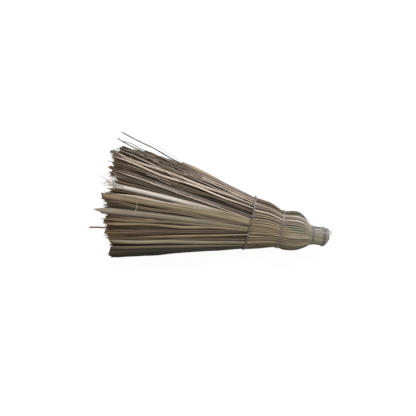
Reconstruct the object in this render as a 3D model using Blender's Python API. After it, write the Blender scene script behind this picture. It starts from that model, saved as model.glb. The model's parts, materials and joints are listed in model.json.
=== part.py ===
"""Grass broom lying on its back: hands of dry leaves round core bundles, tied by four wire bindings.

Metres. The broom's axis runs along X, with the trimmed neck towards +X and the tips towards -X. The fan
spreads along Y and its thickness is along Z. A "reach" is a distance from the neck's cut end towards the
tips. Each cross-section is a rounded square of u (across, -1 to 1) and v (thickness, -1 to 1), and the
leaves follow lines of the same u and v from one cross-section to the next, so none of them cross.
"""

import math
import random
from collections import namedtuple

import bmesh
import bpy
from mathutils import Vector

# Sizes of the tied grass, from the cut end to the tips
NECK_DIAMETER = 0.044
NECK_LENGTH = 0.052
BUTT_DIAMETER = 0.036
BUTT_REACH = 0.002
BUTT_CHAMFER = 0.006
THROAT_REACH = 0.064
THROAT_WIDTH = 0.069
THROAT_DEPTH = 0.056
BULGE_START = 0.086
BULGE_END = 0.106
BULGE_WIDTH = 0.0985
BULGE_DEPTH = 0.075
WAIST_WIDTH = 0.0932
WAIST_DEPTH = 0.060
BELLY_REACH = 0.163
BELLY_WIDTH = 0.117
BELLY_DEPTH = 0.063
SHOULDER_WIDTH = 0.132
SHOULDER_DEPTH = 0.056
SHOULDER_HEIGHT = 0.036
FAN_MIDDLE_REACH = 0.420
FAN_MIDDLE_WIDTH = 0.248
FAN_MIDDLE_DEPTH = 0.064
FAN_REACH = 0.585
FAN_WIDTH = 0.338
FAN_DEPTH = 0.068
FAN_SAG = 0.0005

# Sideways shift of each cross-section towards +Y
THROAT_SHIFT = 0.0004
BULGE_SHIFT = 0.003
WAIST_SHIFT = 0.001
BELLY_SHIFT = 0.0045
SHOULDER_SHIFT = 0.004
FAN_MIDDLE_SHIFT = 0.0107
FAN_SHIFT = 0.0164

# Places of the bindings' middles, and their wire
END_RING_REACH = 0.019
NECK_RING_REACH = 0.0465
WAIST_RING_REACH = 0.127
SHOULDER_RING_REACH = 0.205
WIRE_DIAMETER = 0.002
TURN_PITCH = 0.0026
BAND_MARGIN = 0.0007
WIRE_BEND_RADIUS = 0.0025
TWIST_LENGTH = 0.006
TAIL_TO_FAN = 0.010
HOOK_CLEARANCE = 0.0004
TAIL_HOOK_DROP = 0.0025

# Clearances, the flat under the bulge, leaf ridges and the parting between clumps
SEAT_GAP = 0.0003
HAND_GAP = 0.0005
FLAT_DEPTH = 0.0005
RIDGE_DEPTH = 0.0028
FAN_PARTING = 0.003

# Leaves and stems
LEAF_THICKNESS = 0.0009
LEAF_FOLD = 0.0012
STEM_DIAMETER = 0.0026
WISP_DIAMETER = 0.0018
SPLAY_REACH = 0.290
RAGGED_LENGTH = 0.020
STRAND_SLANT = 0.004
LEAF_SLANT = 0.012

# Counts
COIL_TURNS = 2
LOOP_POINTS = 24
BEND_POINTS = 3
TWIST_POINTS = 6
CLUMP_HAND_COUNT = 2
HAND_COLUMNS = 5
HAND_LAYERS = 4
CORE_LAYERS = 3
LEAF_INNER_RINGS = 2
LEAF_OUTER_RINGS = 5
STEM_POINTS = 12

# How far the planes of the bindings lean, as shares of a side step
BUTT_LEAN_SHARE = 0.12
NECK_LEAN_SHARE = -0.14
WAIST_LEAN_SHARE = 0.05
SHOULDER_LEAN_SHARE = 0.076

# Shares of the cross-section, and of the cell in which a strand grows
NECK_ROUND_SHARE = 0.9
FAN_ROUND_SHARE = 0.6
CLUMP_EDGE_SHARES = (-1.0, -0.406, 0.26, 1.0)
CORE_SHARE = 0.25
ROOT_SHARE = 0.80
MIDDLE_WIDTH_SHARE = 0.76
MIDDLE_DEPTH_SHARE = 0.46
TIP_WIDTH_SHARE = 0.50
WANDER_SHARE = 0.08
CROSSING_SHARES = (0.75, 0.375, 0.0, -0.375, -0.75)
LEAF_LEVEL_SHARE = 0.55
LEAF_SIDE_SHARE = 0.24
LEAF_WIDTH_SHARES = ((0.0, 0.88), (0.6, 1.0), (0.9, 0.94))
STEM_WAVE_SHARE = 0.12
TWIST_TURN_SHARE = 0.75
COIL_START_SHARE = 0.75
APART_SHARE = 4
TIP_LINE_SHARES = (
    (-1.0, 0.915), (-0.8, 0.908), (-0.68, 0.933), (-0.45, 0.949), (-0.28, 0.968), (0.0, 0.979),
    (0.35, 0.971), (0.65, 0.979), (0.74, 0.973), (0.83, 0.947), (0.9, 0.855), (1.0, 0.769),
)

# Colours, which are linear, and surface values
SEED = 7
STRAW = (0.33, 0.25, 0.15)
STRAW_VARIATION = 0.12
STRAW_ROUGHNESS = 0.8
ZINC = (0.36, 0.37, 0.38)
ZINC_ROUGHNESS = 0.45
PALE_LEAF = (0.56, 0.50, 0.44)
TAN_LEAF = (0.40, 0.32, 0.20)
GREEN_LEAF = (0.34, 0.32, 0.21)
BRIGHT_LEAF = (0.58, 0.46, 0.34)
REDDISH_STEM = (0.26, 0.14, 0.09)
DARK_STEM = (0.12, 0.10, 0.08)

# A leaf lies in the fan's top layer over some columns. The shares are of the fan's reach for its end, of its
# width for its tip, of the leaf slant for its cut, and of a layer's thickness for how far it lifts
Leaf = namedtuple("Leaf", "name column columns end_share tip_share slant_share lift_share colour")
LEAVES = (
    Leaf("pale_curled_leaf", 18, 2, 0.985, 0.30, 0.5, 0.8, PALE_LEAF),
    Leaf("tan_cut_leaf", 15, 2, 0.981, 0.85, 0.3, 0.3, TAN_LEAF),
    Leaf("grey_green_leaf", 11, 2, 0.997, 0.25, -0.5, 0.2, GREEN_LEAF),
    Leaf("long_tan_leaf", 3, 2, 0.910, 0.60, -0.7, 0.1, TAN_LEAF),
    Leaf("bright_strip_leaf_1", 25, 1, 0.968, 0.40, 0.35, 0.3, BRIGHT_LEAF),
    Leaf("bright_strip_leaf_2", 22, 1, 0.945, 0.40, 0.35, 0.2, BRIGHT_LEAF),
)

# A stem grows in one layer of the fan, in the middle of some columns. The shares are of the fan's reach for
# its end, and of a column's width for how far its end splays out
Stem = namedtuple("Stem", "name column columns layer end_share splay_share diameter colour")
STEMS = (
    Stem("reddish_stem", 6, 2, 3, 1.007, 0.0, STEM_DIAMETER, REDDISH_STEM),
    Stem("dark_wisp", 29, 1, 1, 0.947, 0.8, WISP_DIAMETER, DARK_STEM),
    Stem("second_wisp", 29, 1, 2, 0.961, 0.0, WISP_DIAMETER, DARK_STEM),
    Stem("third_wisp", 29, 1, 0, 0.846, 1.25, WISP_DIAMETER, DARK_STEM),
)

WIRE_STANDOFF = WIRE_DIAMETER / 2 + SEAT_GAP
BAND_LENGTH = COIL_TURNS * TURN_PITCH + WIRE_DIAMETER + 2 * BAND_MARGIN
SLICE_REACH = SHOULDER_RING_REACH + BAND_LENGTH / 2
AXIS_HEIGHT = BULGE_DEPTH / 2

Station = namedtuple("Station", "reach width depth shift height lean round parting ridge")


def tied_station(reach, width, depth, shift, lean, ridge):
    """A cross-section of the tied part, on the broom's axis."""
    return Station(reach, width, depth, shift, AXIS_HEIGHT, lean, NECK_ROUND_SHARE, HAND_GAP, ridge)


def waist_station(reach):
    """A cross-section under the waist's wire."""
    return tied_station(reach, WAIST_WIDTH, WAIST_DEPTH, WAIST_SHIFT, WAIST_LEAN_SHARE, 0)


def shoulder_station(reach):
    """A cross-section under the shoulder's wire, where the clumps part for the wire to pass."""
    parting = 2 * WIRE_BEND_RADIUS + WIRE_DIAMETER / 2
    return Station(reach, SHOULDER_WIDTH, SHOULDER_DEPTH, SHOULDER_SHIFT, SHOULDER_HEIGHT,
                   SHOULDER_LEAN_SHARE, NECK_ROUND_SHARE, parting, 0)


def fan_station(reach, width, depth, shift):
    """A cross-section of the loose fan, which lies on the ground."""
    return Station(reach, width, depth, shift, depth / 2 - FAN_SAG, 0, FAN_ROUND_SHARE, FAN_PARTING, 0)


STATIONS = (
    tied_station(BUTT_REACH, BUTT_DIAMETER, BUTT_DIAMETER, 0, BUTT_LEAN_SHARE, 0),
    tied_station(BUTT_REACH + BUTT_CHAMFER, NECK_DIAMETER, NECK_DIAMETER, 0, BUTT_LEAN_SHARE / 2, 0),
    tied_station(NECK_LENGTH, NECK_DIAMETER, NECK_DIAMETER, 0, NECK_LEAN_SHARE, 0),
    tied_station(THROAT_REACH, THROAT_WIDTH, THROAT_DEPTH, THROAT_SHIFT, NECK_LEAN_SHARE / 2, RIDGE_DEPTH),
    tied_station(BULGE_START, BULGE_WIDTH, BULGE_DEPTH, BULGE_SHIFT, 0, RIDGE_DEPTH),
    tied_station(BULGE_END, BULGE_WIDTH, BULGE_DEPTH, BULGE_SHIFT, 0, RIDGE_DEPTH),
    waist_station(WAIST_RING_REACH - BAND_LENGTH / 2),
    waist_station(WAIST_RING_REACH + BAND_LENGTH / 2),
    tied_station(BELLY_REACH, BELLY_WIDTH, BELLY_DEPTH, BELLY_SHIFT, WAIST_LEAN_SHARE, RIDGE_DEPTH / 2),
    shoulder_station(SHOULDER_RING_REACH - BAND_LENGTH / 2),
    shoulder_station(SLICE_REACH),
    fan_station(FAN_MIDDLE_REACH, FAN_MIDDLE_WIDTH, FAN_MIDDLE_DEPTH, FAN_MIDDLE_SHIFT),
    fan_station(FAN_REACH, FAN_WIDTH, FAN_DEPTH, FAN_SHIFT),
)
SLICE = len(STATIONS) - 3
FAN_MIDDLE = SLICE + 1


def between(low, high, share):
    return low + (high - low) * share


def along_table(table, key):
    """The value at a key of a table of (key, value), straight between its rows."""
    for (low, start), (high, end) in zip(table, table[1:]):
        if key <= high:
            return between(start, end, (key - low) / (high - low))
    return table[-1][1]


def on_section(station, u, v):
    """The point (u, v) of one cross-section."""
    across = station.width / 2 * u * (1 - station.round + station.round * math.sqrt(1 - v * v / 2))
    up = station.depth / 2 * v * (1 - station.round + station.round * math.sqrt(1 - u * u / 2))
    return Vector((station.lean * across - station.reach, station.shift + across, station.height + up))


def stations_round(reach):
    """The stations on both sides of a reach (the last two past the fan's end), and its share between them."""
    later = [i for i, station in enumerate(STATIONS) if station.reach > reach]
    i = later[0] if later else len(STATIONS) - 1
    near, far = STATIONS[i - 1], STATIONS[i]
    return near, far, (reach - near.reach) / (far.reach - near.reach)


def station_at(reach):
    """A cross-section at any reach, with its sizes taken between its neighbours'."""
    near, far, share = stations_round(reach)
    return Station(*[between(a, b, share) for a, b in zip(near, far)])


class Bundle:
    """A block of leaves between two u and two v, divided into columns and layers of cells."""

    def __init__(self, u_range, v_range, columns, layers, parted):
        self.u_range = u_range
        self.v_range = v_range
        self.columns = columns
        self.layers = layers
        self.parted = parted

    def uv(self, station, column, layer):
        """The u and v of a place in the bundle's grid, drawn in from the neighbours by half a gap."""
        low, high = self.u_range
        bottom, top = self.v_range
        low_gap, high_gap = [station.parting if parted else HAND_GAP for parted in self.parted]
        low += low_gap / station.width if low > -1 else 0
        high -= high_gap / station.width if high < 1 else 0
        bottom += HAND_GAP / station.depth if bottom > -1 else 0
        top -= HAND_GAP / station.depth if top < 1 else 0
        return between(low, high, column / self.columns), between(bottom, top, layer / self.layers)

    def place(self, station, column, layer):
        return on_section(station, *self.uv(station, column, layer))

    def fan_place(self, reach, column, layer):
        """A place in the loose fan, straight between its cross-sections."""
        near, far, share = stations_round(reach)
        return between(self.place(near, column, layer), self.place(far, column, layer), share)

    def rim(self):
        """The grid corners round the bundle's edge, in order."""
        bottom = [(i, 0) for i in range(self.columns)]
        right = [(self.columns, j) for j in range(self.layers)]
        top = [(i, self.layers) for i in range(self.columns, 0, -1)]
        left = [(0, j) for j in range(self.layers, 0, -1)]
        return bottom + right + top + left

    def rim_place(self, station, column, layer, rng):
        """A point of the bundle's side: ridged on the broom's outside, and flat under the bulge."""
        u, v = self.uv(station, column, layer)
        valley = column in (0, self.columns)
        ridge = 2 * station.ridge / station.depth * (1 if valley else rng.random())
        outside = abs(v) == 1 and (v > 0 or station.reach > BULGE_END)
        point = on_section(station, u, v * (1 - ridge) if outside else v)
        if station.reach <= BULGE_END:
            point.z = max(point.z, FLAT_DEPTH)
        return point


def cell_corners(column, layer):
    return [(column, layer), (column + 1, layer), (column + 1, layer + 1), (column, layer + 1)]


def add_ring(verts, points):
    """Adds points and gives their numbers."""
    verts += points
    return list(range(len(verts) - len(points), len(verts)))


def join_rings(faces, first, second):
    """Faces between two rings of as many points."""
    for i in range(len(first)):
        j = (i + 1) % len(first)
        faces.append((first[i], first[j], second[j], second[i]))


def join_tied_rings(faces, first, second, rising):
    """Faces between two rims, each split on the diagonal that the neighbouring bundle's face is split on."""
    for i in range(len(first)):
        j = (i + 1) % len(first)
        if i < rising:
            faces += [(first[i], first[j], second[j]), (first[i], second[j], second[i])]
        else:
            faces += [(first[i], first[j], second[i]), (first[j], second[j], second[i])]


def add_strand(verts, faces, bundle, column, layer, root, rng):
    """One strand: from its root on the slice, through the middle of the fan, to a flat slanted tip."""
    wander = rng.uniform(-WANDER_SHARE, WANDER_SHARE)
    across = column + 0.5 + rng.uniform(-WANDER_SHARE, WANDER_SHARE)
    up = layer + 0.5 + wander
    middle = add_ring(verts, [
        bundle.place(STATIONS[FAN_MIDDLE], across + a * MIDDLE_WIDTH_SHARE, up + b * MIDDLE_DEPTH_SHARE)
        for a, b in cell_corners(-0.5, -0.5)
    ])
    join_rings(faces, root, middle)
    u = bundle.uv(STATIONS[-1], column + 0.5, layer)[0]
    reach = FAN_REACH * along_table(TIP_LINE_SHARES, u) - rng.uniform(0, RAGGED_LENGTH)
    slant = rng.uniform(-STRAND_SLANT, STRAND_SLANT)
    left, right = add_ring(verts, [
        bundle.fan_place(reach + side * slant, column + 0.5 + side * TIP_WIDTH_SHARE / 2, up)
        for side in (-1, 1)
    ])
    faces += [
        (middle[0], middle[1], right, left),
        (middle[2], middle[3], left, right),
        (middle[1], middle[2], right),
        (middle[3], middle[0], left),
    ]


def add_slice(verts, faces, bundle, rim_numbers, bare, rng):
    """The face past the last binding, a cell for each strand, and gives how many strands grow from it."""
    at = dict(zip(bundle.rim(), rim_numbers))
    slice_station = STATIONS[SLICE]
    for column in range(1, bundle.columns):
        for layer in range(1, bundle.layers):
            at[column, layer] = add_ring(verts, [bundle.place(slice_station, column, layer)])[0]
    cells = [(column, layer) for column in range(bundle.columns) for layer in range(bundle.layers)]
    for column, layer in cells:
        outer = [at[corner] for corner in cell_corners(column, layer)]
        if (column, layer) in bare:
            faces.append(tuple(outer))
            continue
        corners = [
            (between(column + 0.5, a, ROOT_SHARE), between(layer + 0.5, b, ROOT_SHARE))
            for a, b in cell_corners(column, layer)
        ]
        root = add_ring(verts, [bundle.place(slice_station, *corner) for corner in corners])
        join_rings(faces, outer, root)
        add_strand(verts, faces, bundle, column, layer, root, rng)
    return len(cells) - len(bare)


def closed_mesh(name, verts, faces):
    """A mesh of one closed body with its faces pointing out."""
    mesh = bpy.data.meshes.new(name)
    mesh.from_pydata(verts, [], faces)
    edit = bmesh.new()
    edit.from_mesh(mesh)
    bmesh.ops.recalc_face_normals(edit, faces=edit.faces)
    edit.to_mesh(mesh)
    edit.free()
    return mesh


def bundle_mesh(name, bundle, bare, rng):
    """One closed body: the tied leaves up to the slice past the last binding, and the strands on it."""
    verts = []
    faces = []
    rings = [
        add_ring(verts, [bundle.rim_place(station, column, layer, rng) for column, layer in bundle.rim()])
        for station in STATIONS[:SLICE + 1]
    ]
    faces.append(tuple(rings[0]))
    for near, far in zip(rings, rings[1:]):
        join_tied_rings(faces, near, far, bundle.columns + bundle.layers)
    strands = add_slice(verts, faces, bundle, rings[-1], bare, rng)
    return closed_mesh(name, verts, faces), strands


def material(name, colour, roughness, metallic=0.0):
    made = bpy.data.materials.new(name)
    made.use_nodes = True
    shader = made.node_tree.nodes["Principled BSDF"]
    shader.inputs["Base Color"].default_value = (*colour, 1)
    shader.inputs["Roughness"].default_value = roughness
    shader.inputs["Metallic"].default_value = metallic
    return made


def straw_material(name, rng):
    shade = 1 + rng.uniform(-STRAW_VARIATION, STRAW_VARIATION)
    return material(name, [channel * shade for channel in STRAW], STRAW_ROUGHNESS)


def zinc_material(name):
    return material(name, ZINC, ZINC_ROUGHNESS, 1.0)


def add_piece(name, data, made, collection, root):
    """An object of the broom, under the root empty."""
    piece = bpy.data.objects.new(name, data)
    collection.objects.link(piece)
    piece.parent = root
    data.materials.append(made)


def clump_parts(count):
    """Each clump's u range split into equal parts, and which sides of a part are the clump's edges."""
    for low, high in zip(CLUMP_EDGE_SHARES, CLUMP_EDGE_SHARES[1:]):
        for i in range(count):
            u_range = between(low, high, i / count), between(low, high, (i + 1) / count)
            yield u_range, (i == 0, i == count - 1)


def make_bundles():
    """The front and back hands and the core bundles between them, by name."""
    rows = (
        ("front_hand", (CORE_SHARE, 1), CLUMP_HAND_COUNT, HAND_COLUMNS, HAND_LAYERS),
        ("back_hand", (-1, -CORE_SHARE), CLUMP_HAND_COUNT, HAND_COLUMNS, HAND_LAYERS),
        ("core_bundle", (-CORE_SHARE, CORE_SHARE), 1, CLUMP_HAND_COUNT * HAND_COLUMNS, CORE_LAYERS),
    )
    bundles = {}
    for row, v_range, parts, columns, layers in rows:
        for number, (u_range, parted) in enumerate(clump_parts(parts), start=1):
            bundles[f"{row}_{number}"] = Bundle(u_range, v_range, columns, layers, parted)
    return bundles


def front_hand(column):
    """The name of the front hand that holds a column of the whole fan, and the column's number in it."""
    return f"front_hand_{column // HAND_COLUMNS + 1}", column % HAND_COLUMNS


def bare_cells():
    """The cells of each front hand that a broad leaf or a stem takes up."""
    places = [(leaf.column, leaf.columns, HAND_LAYERS - 1) for leaf in LEAVES]
    places += [(stem.column, stem.columns, stem.layer) for stem in STEMS]
    cells = {}
    for first, columns, layer in places:
        hand, column = front_hand(first)
        cells.setdefault(hand, set()).update((column + i, layer) for i in range(columns))
    return cells


def leaf_mesh(leaf, bundle):
    """A broad folded leaf in the fan's top layer, from the slice to its tip."""
    first = front_hand(leaf.column)[1]
    verts = []
    rings = []
    start = SLICE_REACH + SEAT_GAP
    end = leaf.end_share * FAN_REACH
    reaches = [between(start, FAN_MIDDLE_REACH, k / LEAF_INNER_RINGS) for k in range(LEAF_INNER_RINGS)]
    reaches += [between(FAN_MIDDLE_REACH, end, k / (LEAF_OUTER_RINGS - 1)) for k in range(LEAF_OUTER_RINGS)]
    for ring_reach in reaches:
        share = (ring_reach - start) / (end - start)
        last = ring_reach == reaches[-1]
        width_share = leaf.tip_share if last else along_table(LEAF_WIDTH_SHARES, share)
        half = (leaf.columns - LEAF_SIDE_SHARE) * width_share / 2
        level = HAND_LAYERS - 1 + LEAF_LEVEL_SHARE + leaf.lift_share * share ** 3
        points = []
        for side in (-1, 0, 1):
            reach = ring_reach + (side * leaf.slant_share * LEAF_SLANT if last else 0)
            points.append(bundle.fan_place(reach, first + leaf.columns / 2 + side * half, level))
        points[1].z += LEAF_FOLD
        below = [point - Vector((0, 0, LEAF_THICKNESS)) for point in reversed(points)]
        rings.append(add_ring(verts, points + below))
    faces = [tuple(rings[0]), tuple(rings[-1])]
    for near, far in zip(rings, rings[1:]):
        join_rings(faces, near, far)
    return closed_mesh(leaf.name, verts, faces)


def stem_points(stem, bundle):
    """A stem's route: in its own cells from the slice, then splayed out past the fan's edge."""
    middle = front_hand(stem.column)[1] + stem.columns / 2
    end = stem.end_share * FAN_REACH
    points = []
    for k in range(STEM_POINTS):
        reach = between(SLICE_REACH + SEAT_GAP, end, k / (STEM_POINTS - 1))
        splay = stem.splay_share * max(0, reach - SPLAY_REACH) / (end - SPLAY_REACH)
        wave = STEM_WAVE_SHARE * math.sin(2 * math.pi * k / (STEM_POINTS - 1))
        points.append(bundle.fan_place(reach, middle + wave + splay, stem.layer + 0.5))
    return points


def tube(name, points, diameter):
    """An unbroken tube along its points, with closed ends."""
    curve = bpy.data.curves.new(name, "CURVE")
    curve.dimensions = "3D"
    curve.bevel_depth = diameter / 2
    curve.bevel_resolution = 1
    curve.use_fill_caps = True
    spline = curve.splines.new("POLY")
    spline.points.add(len(points) - 1)
    for knot, point in zip(spline.points, points):
        knot.co = (*point, 1)
    return curve


def tangent_distance(station, angle):
    """How far a flat tangent at an angle lies from the cross-section's centre."""
    count = 4 * LOOP_POINTS
    shares = [2 * i / count - 1 for i in range(count + 1)]
    edge = [(s, side) for s in shares for side in (-1, 1)] + [(side, s) for s in shares for side in (-1, 1)]
    centre = Vector((0, station.shift, station.height))
    away = Vector((0, math.cos(angle), math.sin(angle)))
    return max((on_section(station, u, v) - centre).dot(away) for u, v in edge)


def wire_corners(station):
    """Where neighbouring tangents of a wire's loop round a cross-section meet, as y and z from its centre."""
    turn = 2 * math.pi / LOOP_POINTS
    corners = []
    for step in range(LOOP_POINTS):
        a, b = step * turn, (step + 1) * turn
        first = tangent_distance(station, a) + WIRE_STANDOFF
        second = tangent_distance(station, b) + WIRE_STANDOFF
        y = (first * math.sin(b) - second * math.sin(a)) / math.sin(turn)
        z = (second * math.cos(a) - first * math.cos(b)) / math.sin(turn)
        corners.append((y, z))
    return corners


def coil_points(reach, start_step):
    """An unbroken coil round the broom, from the fan's side towards the cut end."""
    station = station_at(reach)
    corners = wire_corners(station)
    steps = COIL_TURNS * LOOP_POINTS
    points = []
    for step in range(steps + 1):
        y, z = corners[(start_step + step) % LOOP_POINTS]
        x = TURN_PITCH * (step - steps / 2) / LOOP_POINTS - reach
        points.append(Vector((x + station.lean * y, station.shift + y, station.height + z)))
    return points


def bend_angles():
    """The angles of a quarter bend's points after its start."""
    return [i * math.pi / 2 / BEND_POINTS for i in range(1, BEND_POINTS + 1)]


def quarter_bend(start, ahead, aside):
    """A quarter bend of the wire that starts ahead and ends aside."""
    radius = WIRE_BEND_RADIUS
    return [start + ahead * radius * math.sin(a) + aside * radius * (1 - math.cos(a)) for a in bend_angles()]


def end_wire_points():
    """The coil near the cut end, with one loose end laid towards the fan and one hooked over the cut end."""
    coil = coil_points(END_RING_REACH, 1)
    to_butt = Vector((1, 0, 0))
    fan_tail = quarter_bend(coil[0], (coil[0] - coil[1]).normalized(), -to_butt)
    fan_tail.append(fan_tail[-1] - to_butt * TAIL_TO_FAN)
    butt_tail = quarter_bend(coil[-1], (coil[-1] - coil[-2]).normalized(), to_butt)
    butt_tail.append(butt_tail[-1].copy())
    butt_tail[-1].x = WIRE_STANDOFF + HOOK_CLEARANCE - WIRE_BEND_RADIUS
    inward = Vector((0, 0, AXIS_HEIGHT)) - butt_tail[-1]
    inward.x = 0
    inward.normalize()
    butt_tail += quarter_bend(butt_tail[-1], to_butt, inward)
    butt_tail.append(butt_tail[-1] + inward * TAIL_HOOK_DROP)
    return fan_tail[::-1] + coil + butt_tail


def crossing_place(station, share, v):
    """A place in a parting, as y and z from the cross-section's centre."""
    point = on_section(station, share, v)
    return point.y - station.shift, point.z - station.height


def clump_pass(station, row, face):
    """One pass of the shoulder's wire from +Y to -Y: on a face of each clump, and through each parting."""
    bend = WIRE_BEND_RADIUS
    side = row[0][0]
    points = [(side, face * bend)]
    start = side
    for share in CLUMP_EDGE_SHARES[-2:0:-1]:
        parting = crossing_place(station, share, 1)[0]
        height = along_table(sorted(row), parting) - bend
        points += [(y, face * z) for y, z in row if parting + bend < y < start and z > bend]
        for a in [0.0] + bend_angles():
            points.append((parting + bend * (1 - math.sin(a)), face * (height + bend * math.cos(a))))
        points += [crossing_place(station, share, face * v) for v in CROSSING_SHARES]
        for a in [0.0] + bend_angles():
            points.append((parting - bend * (1 - math.cos(a)), -face * (height + bend * math.sin(a))))
        face = -face
        start = parting - bend
    points += [(y, face * z) for y, z in row if y < start and z > bend]
    return points + [(-side, face * bend)]


def shoulder_wire_points():
    """One wire twined round the three clumps: out over the front first, back over the back, ends twisted."""
    station = station_at(SHOULDER_RING_REACH)
    row = [corner for corner in wire_corners(station) if corner[1] > 0]
    offset = TURN_PITCH / 2
    bend = WIRE_BEND_RADIUS
    side = row[0][0]
    tail = []
    for k in range(TWIST_POINTS, 0, -1):
        angle = 2 * math.pi * TWIST_TURN_SHARE * k / TWIST_POINTS
        y = side + bend + TWIST_LENGTH * k / TWIST_POINTS
        tail.append((offset * math.cos(angle), y, offset * math.sin(angle)))
    for a in [0.0] + bend_angles()[:-1]:
        tail.append((offset, side + bend * (1 - math.sin(a)), bend * (1 - math.cos(a))))
    outward = [(offset, y, z) for y, z in clump_pass(station, row, 1)]
    homeward = [(-offset, y, z) for y, z in clump_pass(station, row, -1)][::-1]
    finish = [(-x, y, -z) for x, y, z in reversed(tail)]
    return [
        Vector((x + station.lean * y - SHOULDER_RING_REACH, station.shift + y, station.height + z))
        for x, y, z in tail + outward + homeward + finish
    ]


def least_gap(points, diameter):
    """The least clearance of a tube to itself, on points taken finely along it."""
    fine = []
    for a, b in zip(points, points[1:]):
        steps = max(1, round((b - a).length / (diameter / 2)))
        fine += [between(a, b, i / steps) for i in range(steps)]
    along = [0.0]
    for a, b in zip(fine, fine[1:]):
        along.append(along[-1] + (b - a).length)
    apart = APART_SHARE * diameter
    distances = [
        (a - b).length
        for i, a in enumerate(fine)
        for j, b in enumerate(fine[:i])
        if along[i] - along[j] > apart
    ]
    return min(distances) - diameter


def centre_on_ground(collection, root):
    """Moves the root so that the broom's box is centred over the origin and stands on Z = 0."""
    bpy.context.view_layer.update()
    graph = bpy.context.evaluated_depsgraph_get()
    corners = []
    for piece in collection.objects:
        if piece.type != "EMPTY":
            shape = piece.evaluated_get(graph)
            corners += [piece.matrix_world @ vertex.co for vertex in shape.to_mesh().vertices]
            shape.to_mesh_clear()
    low = [min(corner[axis] for corner in corners) for axis in range(3)]
    high = [max(corner[axis] for corner in corners) for axis in range(3)]
    root.location = (-(low[0] + high[0]) / 2, -(low[1] + high[1]) / 2, -low[2])


def build():
    for leftover in list(bpy.data.objects):
        bpy.data.objects.remove(leftover)
    collection = bpy.data.collections.new("Grass_broom")
    bpy.context.scene.collection.children.link(collection)
    root = bpy.data.objects.new("broom_origin", None)
    collection.objects.link(root)

    rng = random.Random(SEED)
    bare = bare_cells()
    bundles = make_bundles()
    strands = 0
    for name, bundle in bundles.items():
        mesh, count = bundle_mesh(name, bundle, bare.get(name, ()), rng)
        add_piece(name, mesh, straw_material(name, rng), collection, root)
        strands += count
    print("strands in all:", strands)

    for leaf in LEAVES:
        mesh = leaf_mesh(leaf, bundles[front_hand(leaf.column)[0]])
        add_piece(leaf.name, mesh, material(leaf.name, leaf.colour, STRAW_ROUGHNESS), collection, root)
    for stem in STEMS:
        curve = tube(stem.name, stem_points(stem, bundles[front_hand(stem.column)[0]]), stem.diameter)
        add_piece(stem.name, curve, material(stem.name, stem.colour, STRAW_ROUGHNESS), collection, root)

    wires = {
        "shoulder_wire": shoulder_wire_points(),
        "waist_wire": coil_points(WAIST_RING_REACH, round(LOOP_POINTS * COIL_START_SHARE)),
        "neck_wire": coil_points(NECK_RING_REACH, round(LOOP_POINTS * COIL_START_SHARE)),
        "end_wire": end_wire_points(),
    }
    for name, points in wires.items():
        print(f"{name}: least gap to itself {least_gap(points, WIRE_DIAMETER) * 1000:.2f} mm")
        add_piece(name, tube(name, points, WIRE_DIAMETER), zinc_material(name), collection, root)
    centre_on_ground(collection, root)


build()
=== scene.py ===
"""Grass broom lying on its back: leaves, stems and wire bindings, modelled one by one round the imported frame.

Metres. The broom's axis runs along X with the cut end of its neck towards +X. A "reach" is a distance from
the cut end towards the tips, and a y is measured from the axis. A cross-section is a rounded square of u
(across) and v (thickness), -1 to 1 each.
"""
from collections import defaultdict
import json
import math

import bpy
import numpy as np
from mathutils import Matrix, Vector


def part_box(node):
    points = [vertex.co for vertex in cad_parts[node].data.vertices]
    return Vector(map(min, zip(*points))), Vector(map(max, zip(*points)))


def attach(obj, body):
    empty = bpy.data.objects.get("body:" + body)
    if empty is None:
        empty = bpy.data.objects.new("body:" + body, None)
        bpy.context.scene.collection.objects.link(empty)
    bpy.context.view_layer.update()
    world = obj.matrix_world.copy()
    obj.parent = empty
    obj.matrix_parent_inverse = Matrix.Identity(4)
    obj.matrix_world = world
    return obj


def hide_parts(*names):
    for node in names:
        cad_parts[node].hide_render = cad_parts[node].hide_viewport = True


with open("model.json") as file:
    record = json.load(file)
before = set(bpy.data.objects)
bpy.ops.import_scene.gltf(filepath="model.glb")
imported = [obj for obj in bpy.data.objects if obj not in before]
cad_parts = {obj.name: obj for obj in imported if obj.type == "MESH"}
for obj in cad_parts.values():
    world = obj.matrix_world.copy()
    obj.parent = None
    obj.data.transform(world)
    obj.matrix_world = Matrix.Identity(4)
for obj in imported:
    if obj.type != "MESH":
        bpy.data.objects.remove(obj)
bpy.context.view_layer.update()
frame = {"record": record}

SEED = 11
rng = np.random.default_rng(SEED)

# Reaches of the bindings and of the fan's end
END_RING_REACH = 0.019
NECK_RING_REACH = 0.0465
WAIST_REACH = 0.127
SHOULDER_REACH = 0.205
FAN_REACH = 0.585

# The broom's place, from its packed neck wire
NECK_LOW, NECK_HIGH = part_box("neck_wire")
AXIS_HEIGHT = 0.0375
BUTT_X = (NECK_LOW.x + NECK_HIGH.x) / 2 + NECK_RING_REACH
AXIS_Y = (NECK_LOW.y + NECK_HIGH.y) / 2
GROUND_Z = (NECK_LOW.z + NECK_HIGH.z) / 2 - AXIS_HEIGHT
# Leaves lower than this are pressed flat: little of what lies below it is kept
PRESSED_HEIGHT = 0.0008
PRESSED_SHARE = 0.04
LEAST_HEIGHT = 0.0001

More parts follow.
